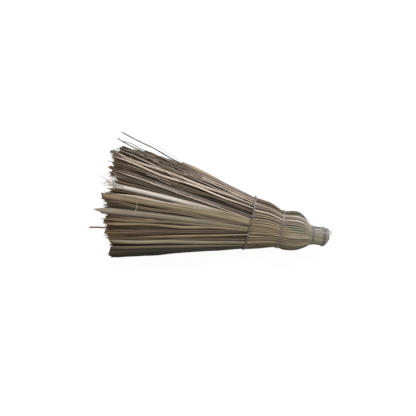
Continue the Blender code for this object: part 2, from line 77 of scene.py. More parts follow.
# Cross-sections: reach, width, depth, shift and lean. Height and roundness change past the waist alone
STATIONS = np.array([
    (-0.004, 0.0385, 0.038, 0, 0),
    (0.001, 0.0405, 0.04, 0, 0),
    (0.006, 0.043, 0.0425, 0, 0),
    (0.011, 0.044, 0.044, 0.0002, -0.03),
    (0.019, 0.0445, 0.044, 0.0003, -0.09),
    (0.0495, 0.0435, 0.044, -0.0003, -0.14),
    (0.058, 0.0605, 0.05, -0.0003, -0.11),
    (0.068, 0.0785, 0.0605, 0.0022, -0.07),
    (0.079, 0.0922, 0.0725, 0.0025, -0.02),
    (0.088, 0.0982, 0.0755, 0.0029, 0),
    (0.099, 0.1006, 0.075, 0.0022, 0.02),
    (0.111, 0.0995, 0.069, 0.0012, 0.04),
    (0.1215, 0.0932, 0.06, 0.001, 0.05),
    (0.1325, 0.0932, 0.06, 0.001, 0.05),
    (0.147, 0.105, 0.0625, 0.0035, 0.05),
    (0.163, 0.1172, 0.0635, 0.0046, 0.05),
    (0.2, 0.1316, 0.056, 0.0028, 0.076),
    (0.21, 0.1326, 0.056, 0.003, 0.076),
    (0.42, 0.248, 0.064, 0.0107, 0),
    (0.64, 0.369, 0.069, 0.0182, 0),
])
HEIGHTS = np.array([(0.163, AXIS_HEIGHT), (0.2, 0.036), (0.21, 0.036), (0.42, 0.0315), (0.64, 0.0342)])
ROUNDINGS = np.array([(0.21, 0.9), (0.42, 0.6)])
STATION_STEP = 0.0005
STATION_SMOOTHING = 0.006

# Edges in u of the three clumps and of their hands, and the share of the thickness that the core bundles fill
CLUMP_EDGES = (-1.0, -0.406, 0.26, 1.0)
HAND_EDGES = (-1.0, -0.703, -0.406, -0.073, 0.26, 0.63, 1.0)
CORE_SHARE = 0.25

# Where the tips end: y and reach
TIP_LINE = np.array([
    (-0.135, 0.535), (-0.117, 0.535), (-0.101, 0.534), (-0.087, 0.55), (-0.072, 0.555), (-0.053, 0.561),
    (-0.037, 0.564), (-0.027, 0.569), (-0.006, 0.565), (0.001, 0.572), (0.016, 0.573), (0.034, 0.558),
    (0.065, 0.57), (0.081, 0.561), (0.0905, 0.562), (0.111, 0.574), (0.117, 0.566), (0.122, 0.559),
    (0.127, 0.553), (0.133, 0.549), (0.139, 0.546), (0.143, 0.532), (0.148, 0.511), (0.153, 0.491),
    (0.158, 0.462), (0.163, 0.436), (0.168, 0.412), (0.175, 0.4), (0.19, 0.388),
]).T
# Where the leaves' cut ends begin: u and reach, and how much more at the front. It fades out by LEVEL_REACH
BUTT_LINE = np.array([
    (-1.0, 0.0115), (-0.75, 0.007), (-0.2, 0.0036), (0.25, 0.0034), (0.6, 0.004), (1.0, 0.0062),
]).T
BUTT_SLANT = 0.0022
BUTT_CHANCE = (-0.0006, 0.001)
LEVEL_REACH = 0.024

# Sets of leaves, by the reach that they start at, with marks for the two sets that end in the tied part
STUB_SET = -2
ROOT_SET = -1
WHOLE_SET = 0
INNER_SET = 0.13
FRONT_SET = SHOULDER_REACH - 0.002
INNER_START_SPREAD = 0.03
STUB_END = 0.062
# A set's rings: reaches in the tied part, and shares of the length elsewhere
TIED_RINGS = np.array([
    0.0, 0.004, 0.012, 0.024, 0.036, 0.044, 0.05, 0.055, 0.06, 0.065, 0.071, 0.078, 0.086, 0.095, 0.104,
    0.112, 0.118, 0.123, 0.127, 0.131, 0.136, 0.144, 0.154, 0.166, 0.178, 0.19, 0.199, 0.205,
])
STUB_RINGS = np.array([0.0, 0.006, 0.024, 0.044, STUB_END])
LOOSE_RINGS = np.array([0.02, 0.06, 0.13, 0.22, 0.32, 0.43, 0.54, 0.65, 0.75, 0.84, 0.91, 0.96, 1.0])
INNER_RINGS = np.array([0.0, 0.1, 0.22, 0.36, 0.5, 0.63, 0.75, 0.85, 0.93, 1.0])
FRONT_RINGS = np.array([
    0.0, 0.03, 0.07, 0.13, 0.2, 0.28, 0.37, 0.46, 0.55, 0.64, 0.72, 0.8, 0.87, 0.92, 0.96, 0.985, 1.0,
])
SETS = (
    (STUB_SET, STUB_RINGS), (ROOT_SET, TIED_RINGS), (WHOLE_SET, TIED_RINGS), (INNER_SET, INNER_RINGS),
    (FRONT_SET, FRONT_RINGS),
)

# Count of the tied roots, and columns, layers and shares of the cross-section of cut ends and inside leaves
ROOT_COUNT = 41
STUB_GRID = (16, 22, 0.93, 0.93)
INNER_GRID = (52, 9, 0.94, 0.66)
# Shells: inset in v, inset in u, leaves across the front, across the back, and up a side
SHELLS = ((0.0, 0.0, 0, 34, 8), (0.12, 0.02, 46, 38, 9), (0.24, 0.04, 46, 40, 8), (0.36, 0.06, 44, 40, 7))
INNER_SHELL = len(SHELLS) - 1

# Full widths of roots, cut ends and leaves
ROOT_WIDTH = 0.0068
STUB_WIDTH = 0.0062
OUTER_WIDTH = 0.0092
DEEPER_WIDTH = 0.0075
SIDE_WIDTH = 0.0065
INNER_WIDTH = 0.0068

# How far leaves may stop short of the tip line: in the front's -Y half, at the +Y side, and elsewhere
FRONT_RAGGED, SIDE_RAGGED, RAGGED = 0.013, 0.055, 0.02
# The most that leaves sink, and how far chance sways, lifts and waves them
OUTER_SINK, DEEPER_SINK = 0.0026, 0.0012
SWAY, LIFT, WAVE = 0.0022, 0.002, 0.0006
THICKNESSES = (0.00035, 0.0006)
ROOT_THICKNESSES = (0.0004, 0.0006)
STUB_THICKNESSES = (0.0005, 0.0008)
# Lengths of pointed and torn tips, what a torn strip may lose, and lengths of dry ends
POINT_TIPS, TORN_TIPS, TORN_LOSS = (0.02, 0.09), (0.01, 0.05), 0.018
LONG_DRY, SHORT_DRY = 0.072, 0.026

# Reaches between which leaves open, twist, wave, and change from the root's colour to their own
OPENING = (0.05, 0.3)
TWISTING = (0.21, 0.6)
WAVING = (0.21, 0.32)
COLOUR_CHANGE = (0.25, 0.42)
WAVE_LENGTH = 0.17
# A leaf's width: reaches, and shares of its full width
LEAF_GROWTH = ((0, 0.05, 0.08, 0.127, 0.205, 0.33, 0.6), (0.44, 0.44, 0.56, 0.52, 0.6, 0.95, 1.0))
# Where leaves may lie higher or lower: where a free length begins, opens, closes and ends, and how much
FREE_LENGTHS = ((0.052, 0.068, 0.104, 0.12, 1.0), (0.134, 0.15, 0.186, 0.2, 0.45))
LOOSE_LENGTH = (0.212, 0.3)
LOOSE_SINK = 0.8
# What a leaf can say of itself
LEAF_VALUES = (
    "u v end width roll twist fold sink sway lift side half tip slant thick warp wave phase front root_y "
    "tip_y bow dry colour tip_colour root_colour"
).split()
# A blade's corners: place across, and which face of the sheet they are on
BLADE_CORNERS = ((-1, 0.5), (0, 1.0), (1, 0.5), (1, -0.5), (0, -1.0), (-1, -0.5))

# Colours, linear
KHAKI = np.array((0.285, 0.222, 0.134))
BEIGE = np.array((0.335, 0.264, 0.182))
PINK = np.array((0.47, 0.378, 0.308))
PALE = np.array((0.68, 0.625, 0.565))
OLIVE = np.array((0.205, 0.17, 0.105))
TAUPE = np.array((0.215, 0.158, 0.103))
BROWN = np.array((0.155, 0.095, 0.048))
# DARK is also used as painted shade in the grooves between leaves
DARK = np.array((0.058, 0.039, 0.023))
GREY_GREEN = np.array((0.225, 0.192, 0.128))
REDDISH = np.array((0.19, 0.105, 0.07))
# Painted shade: a leaf's brightness by shell, darker deeper inside where the leaves above shade it; and the u
# of the parting, where inner leaves get a little less of it
SHELL_PAINTED_SHADES = (0.82, 0.38, 0.22, 0.16)
WEDGE = (0.12, 0.42)
# A green stain on the bulge: its middle, slope, size along and across, and what it takes of each colour
STAIN_REACH = 0.091
STAIN_Y = 0.0075
STAIN_SLOPE = 0.14
STAIN_SIZE = (0.024, 0.0075)
STAIN_LOSS = np.array((0.44, 0.28, 0.32))
# The bulge is worn pale, and the neck is darker; the neck's lower side gets painted light that lifts the shade
# that the key sun leaves there
WORN_REACHES = (0.095, 0.125)
WORN_GAIN = np.array((0.22, 0.34, 0.44))
NECK_REACHES = (0.044, 0.062)
NECK_GAIN = np.array((-0.15, -0.07, 0.0))
NECK_LOW_SIDE = (0.006, -0.018)
NECK_LOW_PAINTED_LIGHT = 0.2

# The front's main leaves run in lines up to this reach
FRONT_REACH = 0.56
# The upper clump's leaves under them swing off the middle clump's from this u, this far at most
FRONT_PARTING = 0.13
FRONT_SWING = 0.028
# Leaves rooted between these y are dull near the shoulder
DULL_ROOTS = (0.004, 0.0125)
# Main leaves: y at the shoulder and at FRONT_REACH, how far the middle bows towards +Y, width, colour, shade,
# sink, kind, tip reach and, for some, the node that they replace
# DARK rows are painted shade: dark leaves along the grooves between the others
FRONT = (
    # Painted shade: the low shades of these two rows darken the -Y edge, which faces away from the light
    (-0.06, -0.139, 0, 0.01, GREY_GREEN, 0.12, 0.0015, "cut", 0.535),
    (-0.0575, -0.127, 0, 0.0185, GREY_GREEN, 0.17, 0, "cut", 0.535),
    (-0.0548, -0.1215, 0, 0.005, DARK, 0.6, 0.0025, "cut", 0.533),
    (-0.0522, -0.1176, 0, 0.0078, KHAKI, 0.66, 0, "cut", 0.533),
    (-0.0488, -0.1085, 0, 0.0055, DARK, 0.4, 0.0016, "cut", 0.532),
    (-0.0455, -0.1005, 0, 0.0105, GREY_GREEN, 1.08, 0, "cut", 0.537, "long_tan_leaf"),
    (-0.0412, -0.094, 0, 0.0056, DARK, 0.5, 0.0012, "torn", 0.552),
    (-0.037, -0.09, -0.002, 0.0075, KHAKI, 0.46, 0.0005, "torn", 0.56),
    (-0.033, -0.087, 0, 0.0046, DARK, 0.8, 0.0008, "torn", 0.558),
    (-0.025, -0.09, -0.001, 0.007, KHAKI, 1.08, -0.0006, "point", 0.48),
    (-0.0195, -0.084, 0, 0.0056, DARK, 0.8, 0.001, "torn", 0.558),
    (-0.0173, -0.075, 0, 0.009, TAUPE, 0.53, 0.0004, "torn", 0.554),
    (-0.019, -0.0605, 0, 0.005, DARK, 0.5, 0.0006, "torn", 0.568),
    (-0.0132, -0.0535, 0, 0.0085, KHAKI, 0.97, 0, "point", 0.552),
    (-0.01, -0.047, 0.003, 0.0075, KHAKI, 0.62, 0, "point", 0.567),
    (-0.0086, -0.0484, 0.001, 0.004, DARK, 0.5, -0.0002, "torn", 0.548),
    (-0.0105, -0.0228, 0.0015, 0.018, GREY_GREEN, 0.89, -0.0003, "point", 0.584, "grey_green_leaf"),
    (-0.0045, -0.0115, 0.001, 0.0055, DARK, 0.5, 0.0022, "torn", 0.563),
    (-0.0022, -0.002, 0.001, 0.008, TAUPE, 0.78, 0.0006, "torn", 0.567),
    (0.002, 0.0095, 0.004, 0.016, KHAKI, 0.86, 0, "cut", 0.573, "tan_cut_leaf"),
    (0.0085, 0.02, 0.004, 0.0088, PINK, 0.88, 0, "point", 0.562),
    (0.0065, 0.027, 0.003, 0.015, KHAKI, 0.98, 0.0008, "point", 0.43),
    (0.0105, 0.032, 0.003, 0.008, DARK, 1.4, 0.001, "torn", 0.56),
    (0.0105, 0.0415, 0.003, 0.0125, PALE, 0.96, 0, "point", 0.552, "pale_curled_leaf"),
    (0.0135, 0.0765, 0.001, 0.0036, PINK, 1.1, 0, "point", 0.558, "bright_strip_leaf_2"),
    (0.016, 0.0793, 0.001, 0.004, DARK, 0.9, 0.0025, "torn", 0.566),
    (0.0185, 0.0815, 0, 0.003, PINK, 0.66, 0, "point", 0.552),
    (0.0222, 0.0838, 0, 0.0042, PINK, 0.5, 0, "torn", 0.556),
    (0.0275, 0.089, 0, 0.008, DARK, 0.35, 0.0024, "torn", 0.56),
    (0.032, 0.0945, 0, 0.005, TAUPE, 0.9, 0.0008, "torn", 0.562),
    (0.0345, 0.0988, 0, 0.0055, TAUPE, 0.78, 0.0003, "torn", 0.566),
    (0.0378, 0.1035, 0, 0.0065, DARK, 0.3, 0.0024, "torn", 0.562),
    (0.041, 0.1085, 0, 0.0056, PINK, 1.42, -0.0006, "point", 0.571, "bright_strip_leaf_1"),
    (0.0442, 0.1128, 0, 0.0072, DARK, 0.3, 0.0024, "torn", 0.566),
    (0.0468, 0.115, 0, 0.003, TAUPE, 0.8, 0.0012, "point", 0.57),
    (0.05, 0.1198, 0, 0.007, PINK, 1.36, 0, "torn", 0.566),
    (0.053, 0.1238, 0, 0.006, DARK, 0.35, 0.0022, "torn", 0.555),
    (0.0552, 0.127, 0, 0.0032, PINK, 0.85, 0.0004, "point", 0.553),
    (0.0575, 0.131, 0, 0.0045, DARK, 0.6, 0.0018, "torn", 0.55),
    (0.0597, 0.135, 0, 0.0038, PINK, 1.2, 0, "point", 0.549),
    (0.0617, 0.1395, 0, 0.0045, PINK, 0.6, 0.0006, "torn", 0.546),
    (0.0636, 0.144, 0, 0.0036, PINK, 1.2, 0, "point", 0.528),
    (0.0652, 0.149, 0, 0.004, DARK, 0.6, 0.0016, "torn", 0.507),
    (0.0668, 0.1545, 0, 0.003, PINK, 0.95, 0, "point", 0.485),
    (0.068, 0.161, 0, 0.0028, TAUPE, 0.8, 0, "point", 0.435),
)
# More leaves, deeper in the parting and beside the grey-green leaf. The dim ones in the parting are painted
# shade of its dark wedge.
FILLING = (
    (-0.01, -0.037, 0.0015, 0.009, TAUPE, 1.15, 0.0004, "torn", 0.558),
    (0.012, 0.05, 0.001, 0.013, TAUPE, 0.44, 0.003, "torn", 0.562),
    (0.0135, 0.06, 0.001, 0.015, TAUPE, 0.3, 0.0034, "torn", 0.566),
    (0.015, 0.069, 0.001, 0.012, TAUPE, 0.4, 0.003, "torn", 0.566),
)
# Values of single leaves that aren't left to chance
NODE_SHAPES = {
    "tan_cut_leaf": dict(slant=0.003),
    "pale_curled_leaf": dict(roll=0.06, twist=-0.04, tip=0.014),
    "grey_green_leaf": dict(tip=0.036),
}

# Stalks past the leaves: (reach, y) points, height as a share of the fan's half thickness, thickness at the
# root and at the tip, and colour at both
STALKS = {
    "reddish_stem": (
        ((0.214, -0.031), (0.42, -0.052), (0.54, -0.064), (0.574, -0.0665), (0.5925, -0.0718)),
        0.66, 0.0026, 0.0042, REDDISH * 0.8, REDDISH * 1.35),
    "dark_wisp": (
        ((0.214, 0.06), (0.3, 0.084), (0.359, 0.109), (0.394, 0.121), (0.442, 0.136), (0.473, 0.149),
         (0.505, 0.158), (0.538, 0.167), (0.554, 0.173)),
        0.4, 0.0033, 0.0026, DARK * 0.8, DARK * 0.6),
    "second_wisp": (
        ((0.214, 0.058), (0.3, 0.082), (0.4, 0.108), (0.46, 0.123), (0.503, 0.136), (0.528, 0.142),
         (0.546, 0.15), (0.562, 0.157)),
        0.55, 0.003, 0.0024, DARK * 1.2, DARK * 0.9),
    "third_wisp": (
        ((0.214, 0.061), (0.3, 0.085), (0.386, 0.12), (0.41, 0.132), (0.444, 0.147), (0.485, 0.159),
         (0.495, 0.165)),
        0.22, 0.0014, 0.0008, TAUPE, PALE * 1.1),
}
STALK_SIDES = 8

# Fibres seen singly: the node under them, (reach, y, height over the leaves) points, radius and colour
SINGLE_FIBRES = (
    ("front_hand_4",
     ((0.486, 0.008, 0.001), (0.4845, 0.001, 0.0022), (0.484, -0.006, 0.003), (0.487, -0.015, 0.0022),
      (0.4875, -0.024, 0.001)), 0.0004, PALE * 1.3),
    ("front_hand_5",
     ((0.373, 0.067, 0.001), (0.38, 0.06, 0.003), (0.388, 0.054, 0.003), (0.395, 0.046, 0.004),
      (0.4, 0.042, 0.003), (0.394, 0.042, 0.002)), 0.00035, PINK),
    ("front_hand_6",
     ((0.47, 0.133, 0.0005), (0.482, 0.136, 0.0005), (0.506, 0.1404, 0.0005), (0.5187, 0.1472, 0.0005),
      (0.5308, 0.1506, 0.0005), (0.5456, 0.1501, 0.0005)), 0.0009, DARK * 1.2),
)
# How far out towards +Y other fibres lie: reach and y
FIBRE_EDGE = np.array([
    (0.34, 0.1), (0.376, 0.111), (0.42, 0.12), (0.482, 0.131), (0.55, 0.135), (0.572, 0.12),
]).T
# Fibres past the pale leaf's tip: count, starts, ends, and how far off its line
PALE_FIBRE_COUNT = 15
PALE_FIBRE_STARTS, PALE_FIBRE_ENDS, PALE_FIBRE_ASIDE = (0.522, 0.54), (0.548, 0.586), 0.0045
# Fibres on the upper clump: count, starts, lengths, last reach, and places across its two hands
UPPER_FIBRE_COUNT = 60
UPPER_FIBRE_STARTS, UPPER_FIBRE_LENGTHS, UPPER_FIBRE_END = (0.34, 0.46), (0.05, 0.13), 0.572
OUTER_FIBRE_SIDES, INNER_FIBRE_SIDES = (0.72, 0.97), (0.32, 0.62)
# Curled fibres at the tips: count, y and reach
TIP_FIBRE_COUNT = 14
TIP_FIBRE_Y, TIP_FIBRE_REACH = (0.045, 0.062), 0.545
FIBRE_SHARES = np.linspace(0, 1, 6)
FIBRE_SIDES = 5
# The pale leaf's line: y at the shoulder, and how much more at FRONT_REACH
PALE_LINE = (0.0105, 0.031)
PALE_TIP_REACH = 0.586

# Wire: radius, gap to the leaves and sides, then a ring's steps a turn, turns, pitch, start and unevenness
WIRE_RADIUS = 0.0009
WIRE_GAP = 0.0005
WIRE_SIDES = 10
RING_STEPS = 96
RING_TURNS = 2.2
RING_PITCH = 0.0019
RING_START = math.radians(-80)
END_RING_START = math.radians(52)
RING_WOBBLE = 0.00012
FLOOR_GAP = 0.0003
# The shoulder wire: its gap, half the way between its two runs and between its two wires, and its knots
TWINE_GAP = 0.0006
TWINE_APART = 0.0008
TWINE_PAIR = (-0.0006, 0.0006)
TWINE_STEPS = 24
KNOT_Y = (-0.0234, 0.0216)
KNOT_RADII = (0.0025, 0.0013)
KNOT_LENGTH = 0.0028
KNOT_TURNS = 1.2
TWIST_LENGTH = 0.0035
TWIST_TURNS = 1.4
# Each wire's shade, how much painted light brightens its +Y side, which faces the key sun, and the y between
# which it brightens
WIRE_SHADES = {
    "shoulder_wire": (0.36, 1.3, 0.015, 0.062), "waist_wire": (0.58, 0.75, 0.0, 0.046),
    "neck_wire": (0.6, 0.15, 0.0, 0.02), "end_wire": (0.5, 0.9, 0.0, 0.021),
}
KNOT_SHADE = (1.0, 0.0, 0.0, 0.02)

# The record's slot of each node
SLOTS = {row["node"]: row["material_slot"] for row in frame["record"]["subparts"]}

# Suns: direction, strength and width in degrees
SUNS = {"key": ((0.08, 0.95, 0.9), 2.95, 10), "fill": ((-0.2, -0.1, 1.0), 0.3, 60)}
SKY_STRENGTH = 0.245
FLOOR_REACH = 20.0
FLOOR_DROP = 0.0002
FLOOR_GLOW = 1.05
FLOOR_GLOW_SHARE = 0.91
# The camera looks straight down at a point off the cut end in X and off the axis in Y
CAMERA_ROLL = 9.5
CAMERA_DISTANCE = 1.115
CAMERA_LENS = 38.6
CAMERA_SENSOR = 36
CAMERA_PLACE = (-0.3132, 0.0236)


def smooth_stations():
    """The cross-sections at every step of the reach, with their corners rounded."""
    reaches = np.arange(STATIONS[0, 0], STATIONS[-1, 0], STATION_STEP)
    half = int(STATION_SMOOTHING / STATION_STEP)
    weights = half + 1 - np.abs(np.arange(-half, half + 1))
    weights = weights / weights.sum()
    tables = [STATIONS[:, [0, column]] for column in range(1, 5)]
    columns = []
    for table in tables + [HEIGHTS, ROUNDINGS]:
        line = np.interp(reaches, *table.T)
        columns.append(np.convolve(np.pad(line, half, mode="edge"), weights, mode="valid"))
    return reaches, columns


REACHES, COLUMNS = smooth_stations()


def section(reach):
    """Width, depth, shift, lean, height and round at reaches."""
    return [np.interp(reach, REACHES, column) for column in COLUMNS]


def place(reach, u, v):
    """Points of the broom in the row frame."""
    width, depth, shift, lean, height, rounding = section(reach)
    across = width / 2 * u * (1 - rounding + rounding * np.sqrt(np.maximum(1 - v * v / 2, 0.01)))
    up = depth / 2 * v * (1 - rounding + rounding * np.sqrt(np.maximum(1 - u * u / 2, 0.01)))
    x = BUTT_X + lean * across - reach
    return np.stack([x, AXIS_Y + shift + across, GROUND_Z + height + up], axis=-1)


def front_uv(reach, y):
    """The u and v of the points of the upper side that lie at some y."""
    width, _, shift, _, _, rounding = section(reach)
    across = (y - shift) / (width / 2)
    squeeze = np.clip((np.abs(across) - 1 + rounding) / rounding, math.sqrt(0.5), 1)
    v = np.sqrt(2 * (1 - squeeze ** 2))
    u = np.clip(across / (1 - rounding + rounding * np.sqrt(1 - v * v / 2)), -1, 1)
    return u, v


def outward(reach, points):
    """The outward direction of the broom's side at points, across its axis."""
    width, depth, shift, _, height, _ = section(reach)
    y = (points[..., 1] - AXIS_Y - shift) / (width / 2) ** 2
    z = (points[..., 2] - GROUND_Z - height) / (depth / 2) ** 2
    return unit(np.stack([np.zeros_like(y), y, z], axis=-1))


def unit(vectors):
    return vectors / np.maximum(np.linalg.norm(vectors, axis=-1, keepdims=True), 1e-9)


def blend(first, second, share):
    return first * (1 - share) + second * share


def smoothstep(low, high, value):
    share = np.clip((value - low) / (high - low), 0, 1)
    return share * share * (3 - 2 * share)


def spread_out(index, count, aside):
    """A place from -1 to 1 about the middle of one of count equal steps."""
    return -1 + 2 * (index + 0.5 + rng.uniform(-aside, aside)) / count


def scattered(columns, layers, u_share, v_share):
    """Places strewn evenly over shares of the cross-section."""
    for column in range(columns):
        for layer in range(layers):
            u = (-1 + 2 * (column + rng.random()) / columns) * u_share
            yield u, (-1 + 2 * (layer + rng.random()) / layers) * v_share


def chance(spread):
    """An amount about nought."""
    return rng.normal(0, spread)


def varied(size, spread):
    return size * math.exp(chance(spread))


def sunk(reach):
    """How much leaves may lie higher or lower: not at all under a binding."""
    share = LOOSE_SINK * smoothstep(*LOOSE_LENGTH, reach)
    for begins, opens, closes, ends, most in FREE_LENGTHS:
        share = share + most * (smoothstep(begins, opens, reach) * (1 - smoothstep(closes, ends, reach)))
    return share


def tip_reach(u, v):
    """Where the tips in line with a u and v end."""
    y = place(FRONT_REACH, u, v)[1] - AXIS_Y
    return np.interp(y, *TIP_LINE)


def gathered(leaves):
    """The values of a set's leaves, a column each. One that isn't given is 0, or else the leaf's colour."""
    columns = {}
    for name in LEAF_VALUES:
        column = [leaf.get(name, leaf["colour"] if "colour" in name else 0.0) for leaf in leaves]
        columns[name] = np.array(column)[:, None]
    return columns


def leaf_reaches(leaf, rings, start_reach):
    """The reach of each ring of each leaf. Those with a tied part begin at their own cut ends."""
    if start_reach > 0:
        start = start_reach + INNER_START_SPREAD * leaf["phase"] * (start_reach == INNER_SET)
        return start + (leaf["end"] - start) * rings
    begin = np.interp(leaf["u"], *BUTT_LINE) + BUTT_SLANT * (1 + leaf["v"])
    begin = begin + rng.uniform(*BUTT_CHANCE, begin.shape)
    reach = np.where(rings < LEVEL_REACH, begin + rings * (1 - begin / LEVEL_REACH), rings)
    if start_reach == WHOLE_SET:
        loose = rings[-1] + (leaf["end"] - rings[-1]) * LOOSE_RINGS
        reach = np.concatenate([reach, loose], axis=1)
    return reach


def leaf_lines(leaf, reach):
    """Each leaf's centre line and the directions out of the broom along it."""
    front_share = np.clip((reach - SHOULDER_REACH) / (FRONT_REACH - SHOULDER_REACH), 0, None)
    line = blend(leaf["root_y"], leaf["tip_y"], front_share)
    line = line + 4 * leaf["bow"] * front_share * (1 - np.minimum(front_share, 1))
    front_u, front_v = front_uv(np.maximum(reach, SHOULDER_REACH), line)
    u = np.where(leaf["front"] > 0, front_u, leaf["u"])
    v = np.where(leaf["front"] > 0, front_v, leaf["v"])
    points = place(reach, u, v)
    normal = outward(reach, points)
    points = points - normal * (leaf["sink"] * sunk(reach))[..., None]
    loose_share = np.clip((reach - SHOULDER_REACH) / (FAN_REACH - SHOULDER_REACH), 0, None)
    angle = 2 * np.pi * (reach / WAVE_LENGTH + leaf["phase"])
    wave = leaf["wave"] * np.sin(angle) * smoothstep(*WAVING, reach)
    wave = wave + leaf["warp"] * loose_share
    points[..., 1] += wave + leaf["sway"] * loose_share ** 2.2
    points[..., 2] += leaf["lift"] * loose_share ** 2.5
    return points, normal


def blades(leaves, rings, start_reach):
    """Centres, frames and half widths of every leaf of a set at its rings."""
    leaf = gathered(leaves)
    reach = leaf_reaches(leaf, rings, start_reach)
    points, normal = leaf_lines(leaf, reach)
    tangent = unit(np.gradient(points, axis=1))
    normal = unit(normal - (normal * tangent).sum(-1, keepdims=True) * tangent)
    across = np.cross(tangent, normal)
    opened = smoothstep(*OPENING, reach)
    angle = leaf["roll"] * (0.35 + 0.65 * opened) + leaf["twist"] * smoothstep(*TWISTING, reach)
    cosine, sine = np.cos(angle)[..., None], np.sin(angle)[..., None]
    turned = across * cosine + normal * sine
    normal = normal * cosine - across * sine
    pointed = np.clip((leaf["end"] - reach) / np.maximum(leaf["tip"], 1e-6), 0.04, 1) ** 0.8
    width = leaf["width"] * (np.interp(reach, *LEAF_GROWTH) * np.where(leaf["tip"] > 0, pointed, 1))
    # A torn leaf's strips part towards its tip
    parted = 1 + 0.5 * smoothstep(0.85, 1.0, reach / leaf["end"]) * (start_reach >= 0)
    points = points + turned * (leaf["side"] * width * parted)[..., None]
    half = width * leaf["half"] / 2
    fold = leaf["fold"] * half * (1.15 - 0.55 * opened)
    return leaf, reach, points, tangent, turned, normal, half, fold


def blade_tint(leaf, reach, points):
    """Each ring's colour: the root's, the leaf's and the dry tip's in turn, stained and worn by place, with
    painted light on the neck's lower side.
    """
    dry = np.exp(-(leaf["end"] - reach) / np.maximum(leaf["dry"], 0.001))[..., None]
    grown = smoothstep(*COLOUR_CHANGE, reach)[..., None]
    tint = blend(blend(leaf["root_colour"], leaf["colour"], grown), leaf["tip_colour"], dry)
    y = points[..., 1] - AXIS_Y
    along = reach - STAIN_REACH
    stain = (along / STAIN_SIZE[0]) ** 2 + ((y - STAIN_Y - STAIN_SLOPE * along) / STAIN_SIZE[1]) ** 2
    stained = (np.exp(-stain) * (points[..., 2] > GROUND_Z + AXIS_HEIGHT))[..., None]
    worn = (1 - smoothstep(*WORN_REACHES, reach))[..., None]
    neck = (1 - smoothstep(*NECK_REACHES, reach))[..., None]
    # Painted light on the neck's -Y side
    painted_light_side = smoothstep(*NECK_LOW_SIDE, y)[..., None]
    tint = tint * (1 - stained * STAIN_LOSS) * (1 + worn * WORN_GAIN)
    return tint * (1 + neck * (NECK_GAIN + NECK_LOW_PAINTED_LIGHT * painted_light_side))


def ring_quads(ring_count, corners):
    """Quads between the rings of a blade or a rod."""
    ring = np.arange(ring_count - 1)[:, None] * corners
    j = np.arange(corners)[None, :]
    k = (j + 1) % corners
    return np.stack([ring + j, ring + k, ring + corners + k, ring + corners + j], axis=-1).reshape(-1, 4)


def blade_faces(count, ring_count):
    """Quads round every blade of a set, and two at each end."""
    corners = len(BLADE_CORNERS)
    size = ring_count * corners
    near_caps = np.array([(0, 5, 4, 1), (1, 4, 3, 2)])
    far_caps = size - corners + np.array([(0, 1, 4, 5), (1, 2, 3, 4)])
    faces = np.concatenate([ring_quads(ring_count, corners), near_caps, far_caps])
    return (faces[None] + (np.arange(count) * size)[:, None, None]).reshape(-1, 4)


def add_attributes(mesh, tint, grain):
    """Each vertex's colour and its own coordinates for the grain."""
    tints = mesh.color_attributes.new("tint", "FLOAT_COLOR", "POINT")
    tints.data.foreach_set("color", np.array(tint).reshape(-1))
    grains = mesh.attributes.new("grain", "FLOAT_VECTOR", "POINT")
    grains.data.foreach_set("vector", np.array(grain).reshape(-1))


def blade_mesh(name, leaves, rings, start_reach):
    """Closed folded blades as one mesh."""
    leaf, reach, points, tangent, across, normal, half, fold = blades(leaves, rings, start_reach)
    count, ring_count = reach.shape
    corners = []
    for side, edge in BLADE_CORNERS:
        at = points + across * (half * side)[..., None] + normal * (fold * (1 - abs(side)))[..., None]
        at = at + normal * (leaf["thick"][..., None] * edge / 2)
        at[:, -1] += tangent[:, -1] * (leaf["slant"] * side)
        corners.append(at)
    verts = np.stack(corners, axis=2)
    low = GROUND_Z + PRESSED_HEIGHT
    height = verts[..., 2]
    height = np.where(height < low, low - (low - height) * PRESSED_SHARE, height)
    verts[..., 2] = np.maximum(height, LEAST_HEIGHT)

    across_share = np.array([side for side, _ in BLADE_CORNERS], float)
    grain = np.empty(verts.shape)
    grain[..., 0] = across_share * half[..., None]
    grain[..., 1] = reach[..., None]
    grain[..., 2] = rng.uniform(0, 10, count)[:, None, None]
    tint = np.ones(verts.shape[:3] + (4,))
    tint[..., :3] = blade_tint(leaf, reach, points)[:, :, None]

    mesh = bpy.data.meshes.new(name)
    mesh.from_pydata(verts.reshape(-1, 3), [], blade_faces(count, ring_count), shade_flat=False)
    add_attributes(mesh, tint, grain)
    # How near each corner is to the leaf's edge, for the painted edge shade
    painted_edge_shades = mesh.attributes.new("painted_edge_shade", "FLOAT", "POINT")
    painted_edge_shades.data.foreach_set("value", np.broadcast_to(np.abs(across_share), verts.shape[:3]).reshape(-1))
    return mesh


def connect(tree, target, inputs):
    """A node's inputs, each set to a value or linked to another node's output."""
    for socket, value in inputs.items():
        if isinstance(value, bpy.types.NodeSocket):
            tree.links.new(value, target.inputs[socket])
        else:
            target.inputs[socket].default_value = value


def add_node(tree, kind, inputs, **settings):
    made = tree.nodes.new("ShaderNode" + kind)
    for key, value in settings.items():
        setattr(made, key, value)
    connect(tree, made, inputs)
    return made


def attribute(tree, name, output):
    return add_node(tree, "Attribute", {}, attribute_name=name).outputs[output]


def ranged(tree, value, low, high, to_low, to_high):
    """A value taken from one range to another."""
    limits = {"From Min": low, "From Max": high, "To Min": to_low, "To Max": to_high}
    return add_node(tree, "MapRange", {"Value": value, **limits}).outputs["Result"]


def mixed(tree, factor, first, second, mode="MULTIPLY"):
    """Two colours mixed or multiplied. A Mix node's colours are its inputs 6 and 7 and its output 2."""
    inputs = {0: factor, 6: first, 7: second}
    return add_node(tree, "Mix", inputs, data_type="RGBA", blend_type=mode).outputs[2]


def bumped(tree, height, strength, distance):
    inputs = {"Height": height, "Strength": strength, "Distance": distance}
    return add_node(tree, "Bump", inputs).outputs["Normal"]


def new_material(name):
    """A material, its tree and its main shader."""
    made = bpy.data.materials.new(name)
    made.use_nodes = True
    return made, made.node_tree, made.node_tree.nodes["Principled BSDF"]


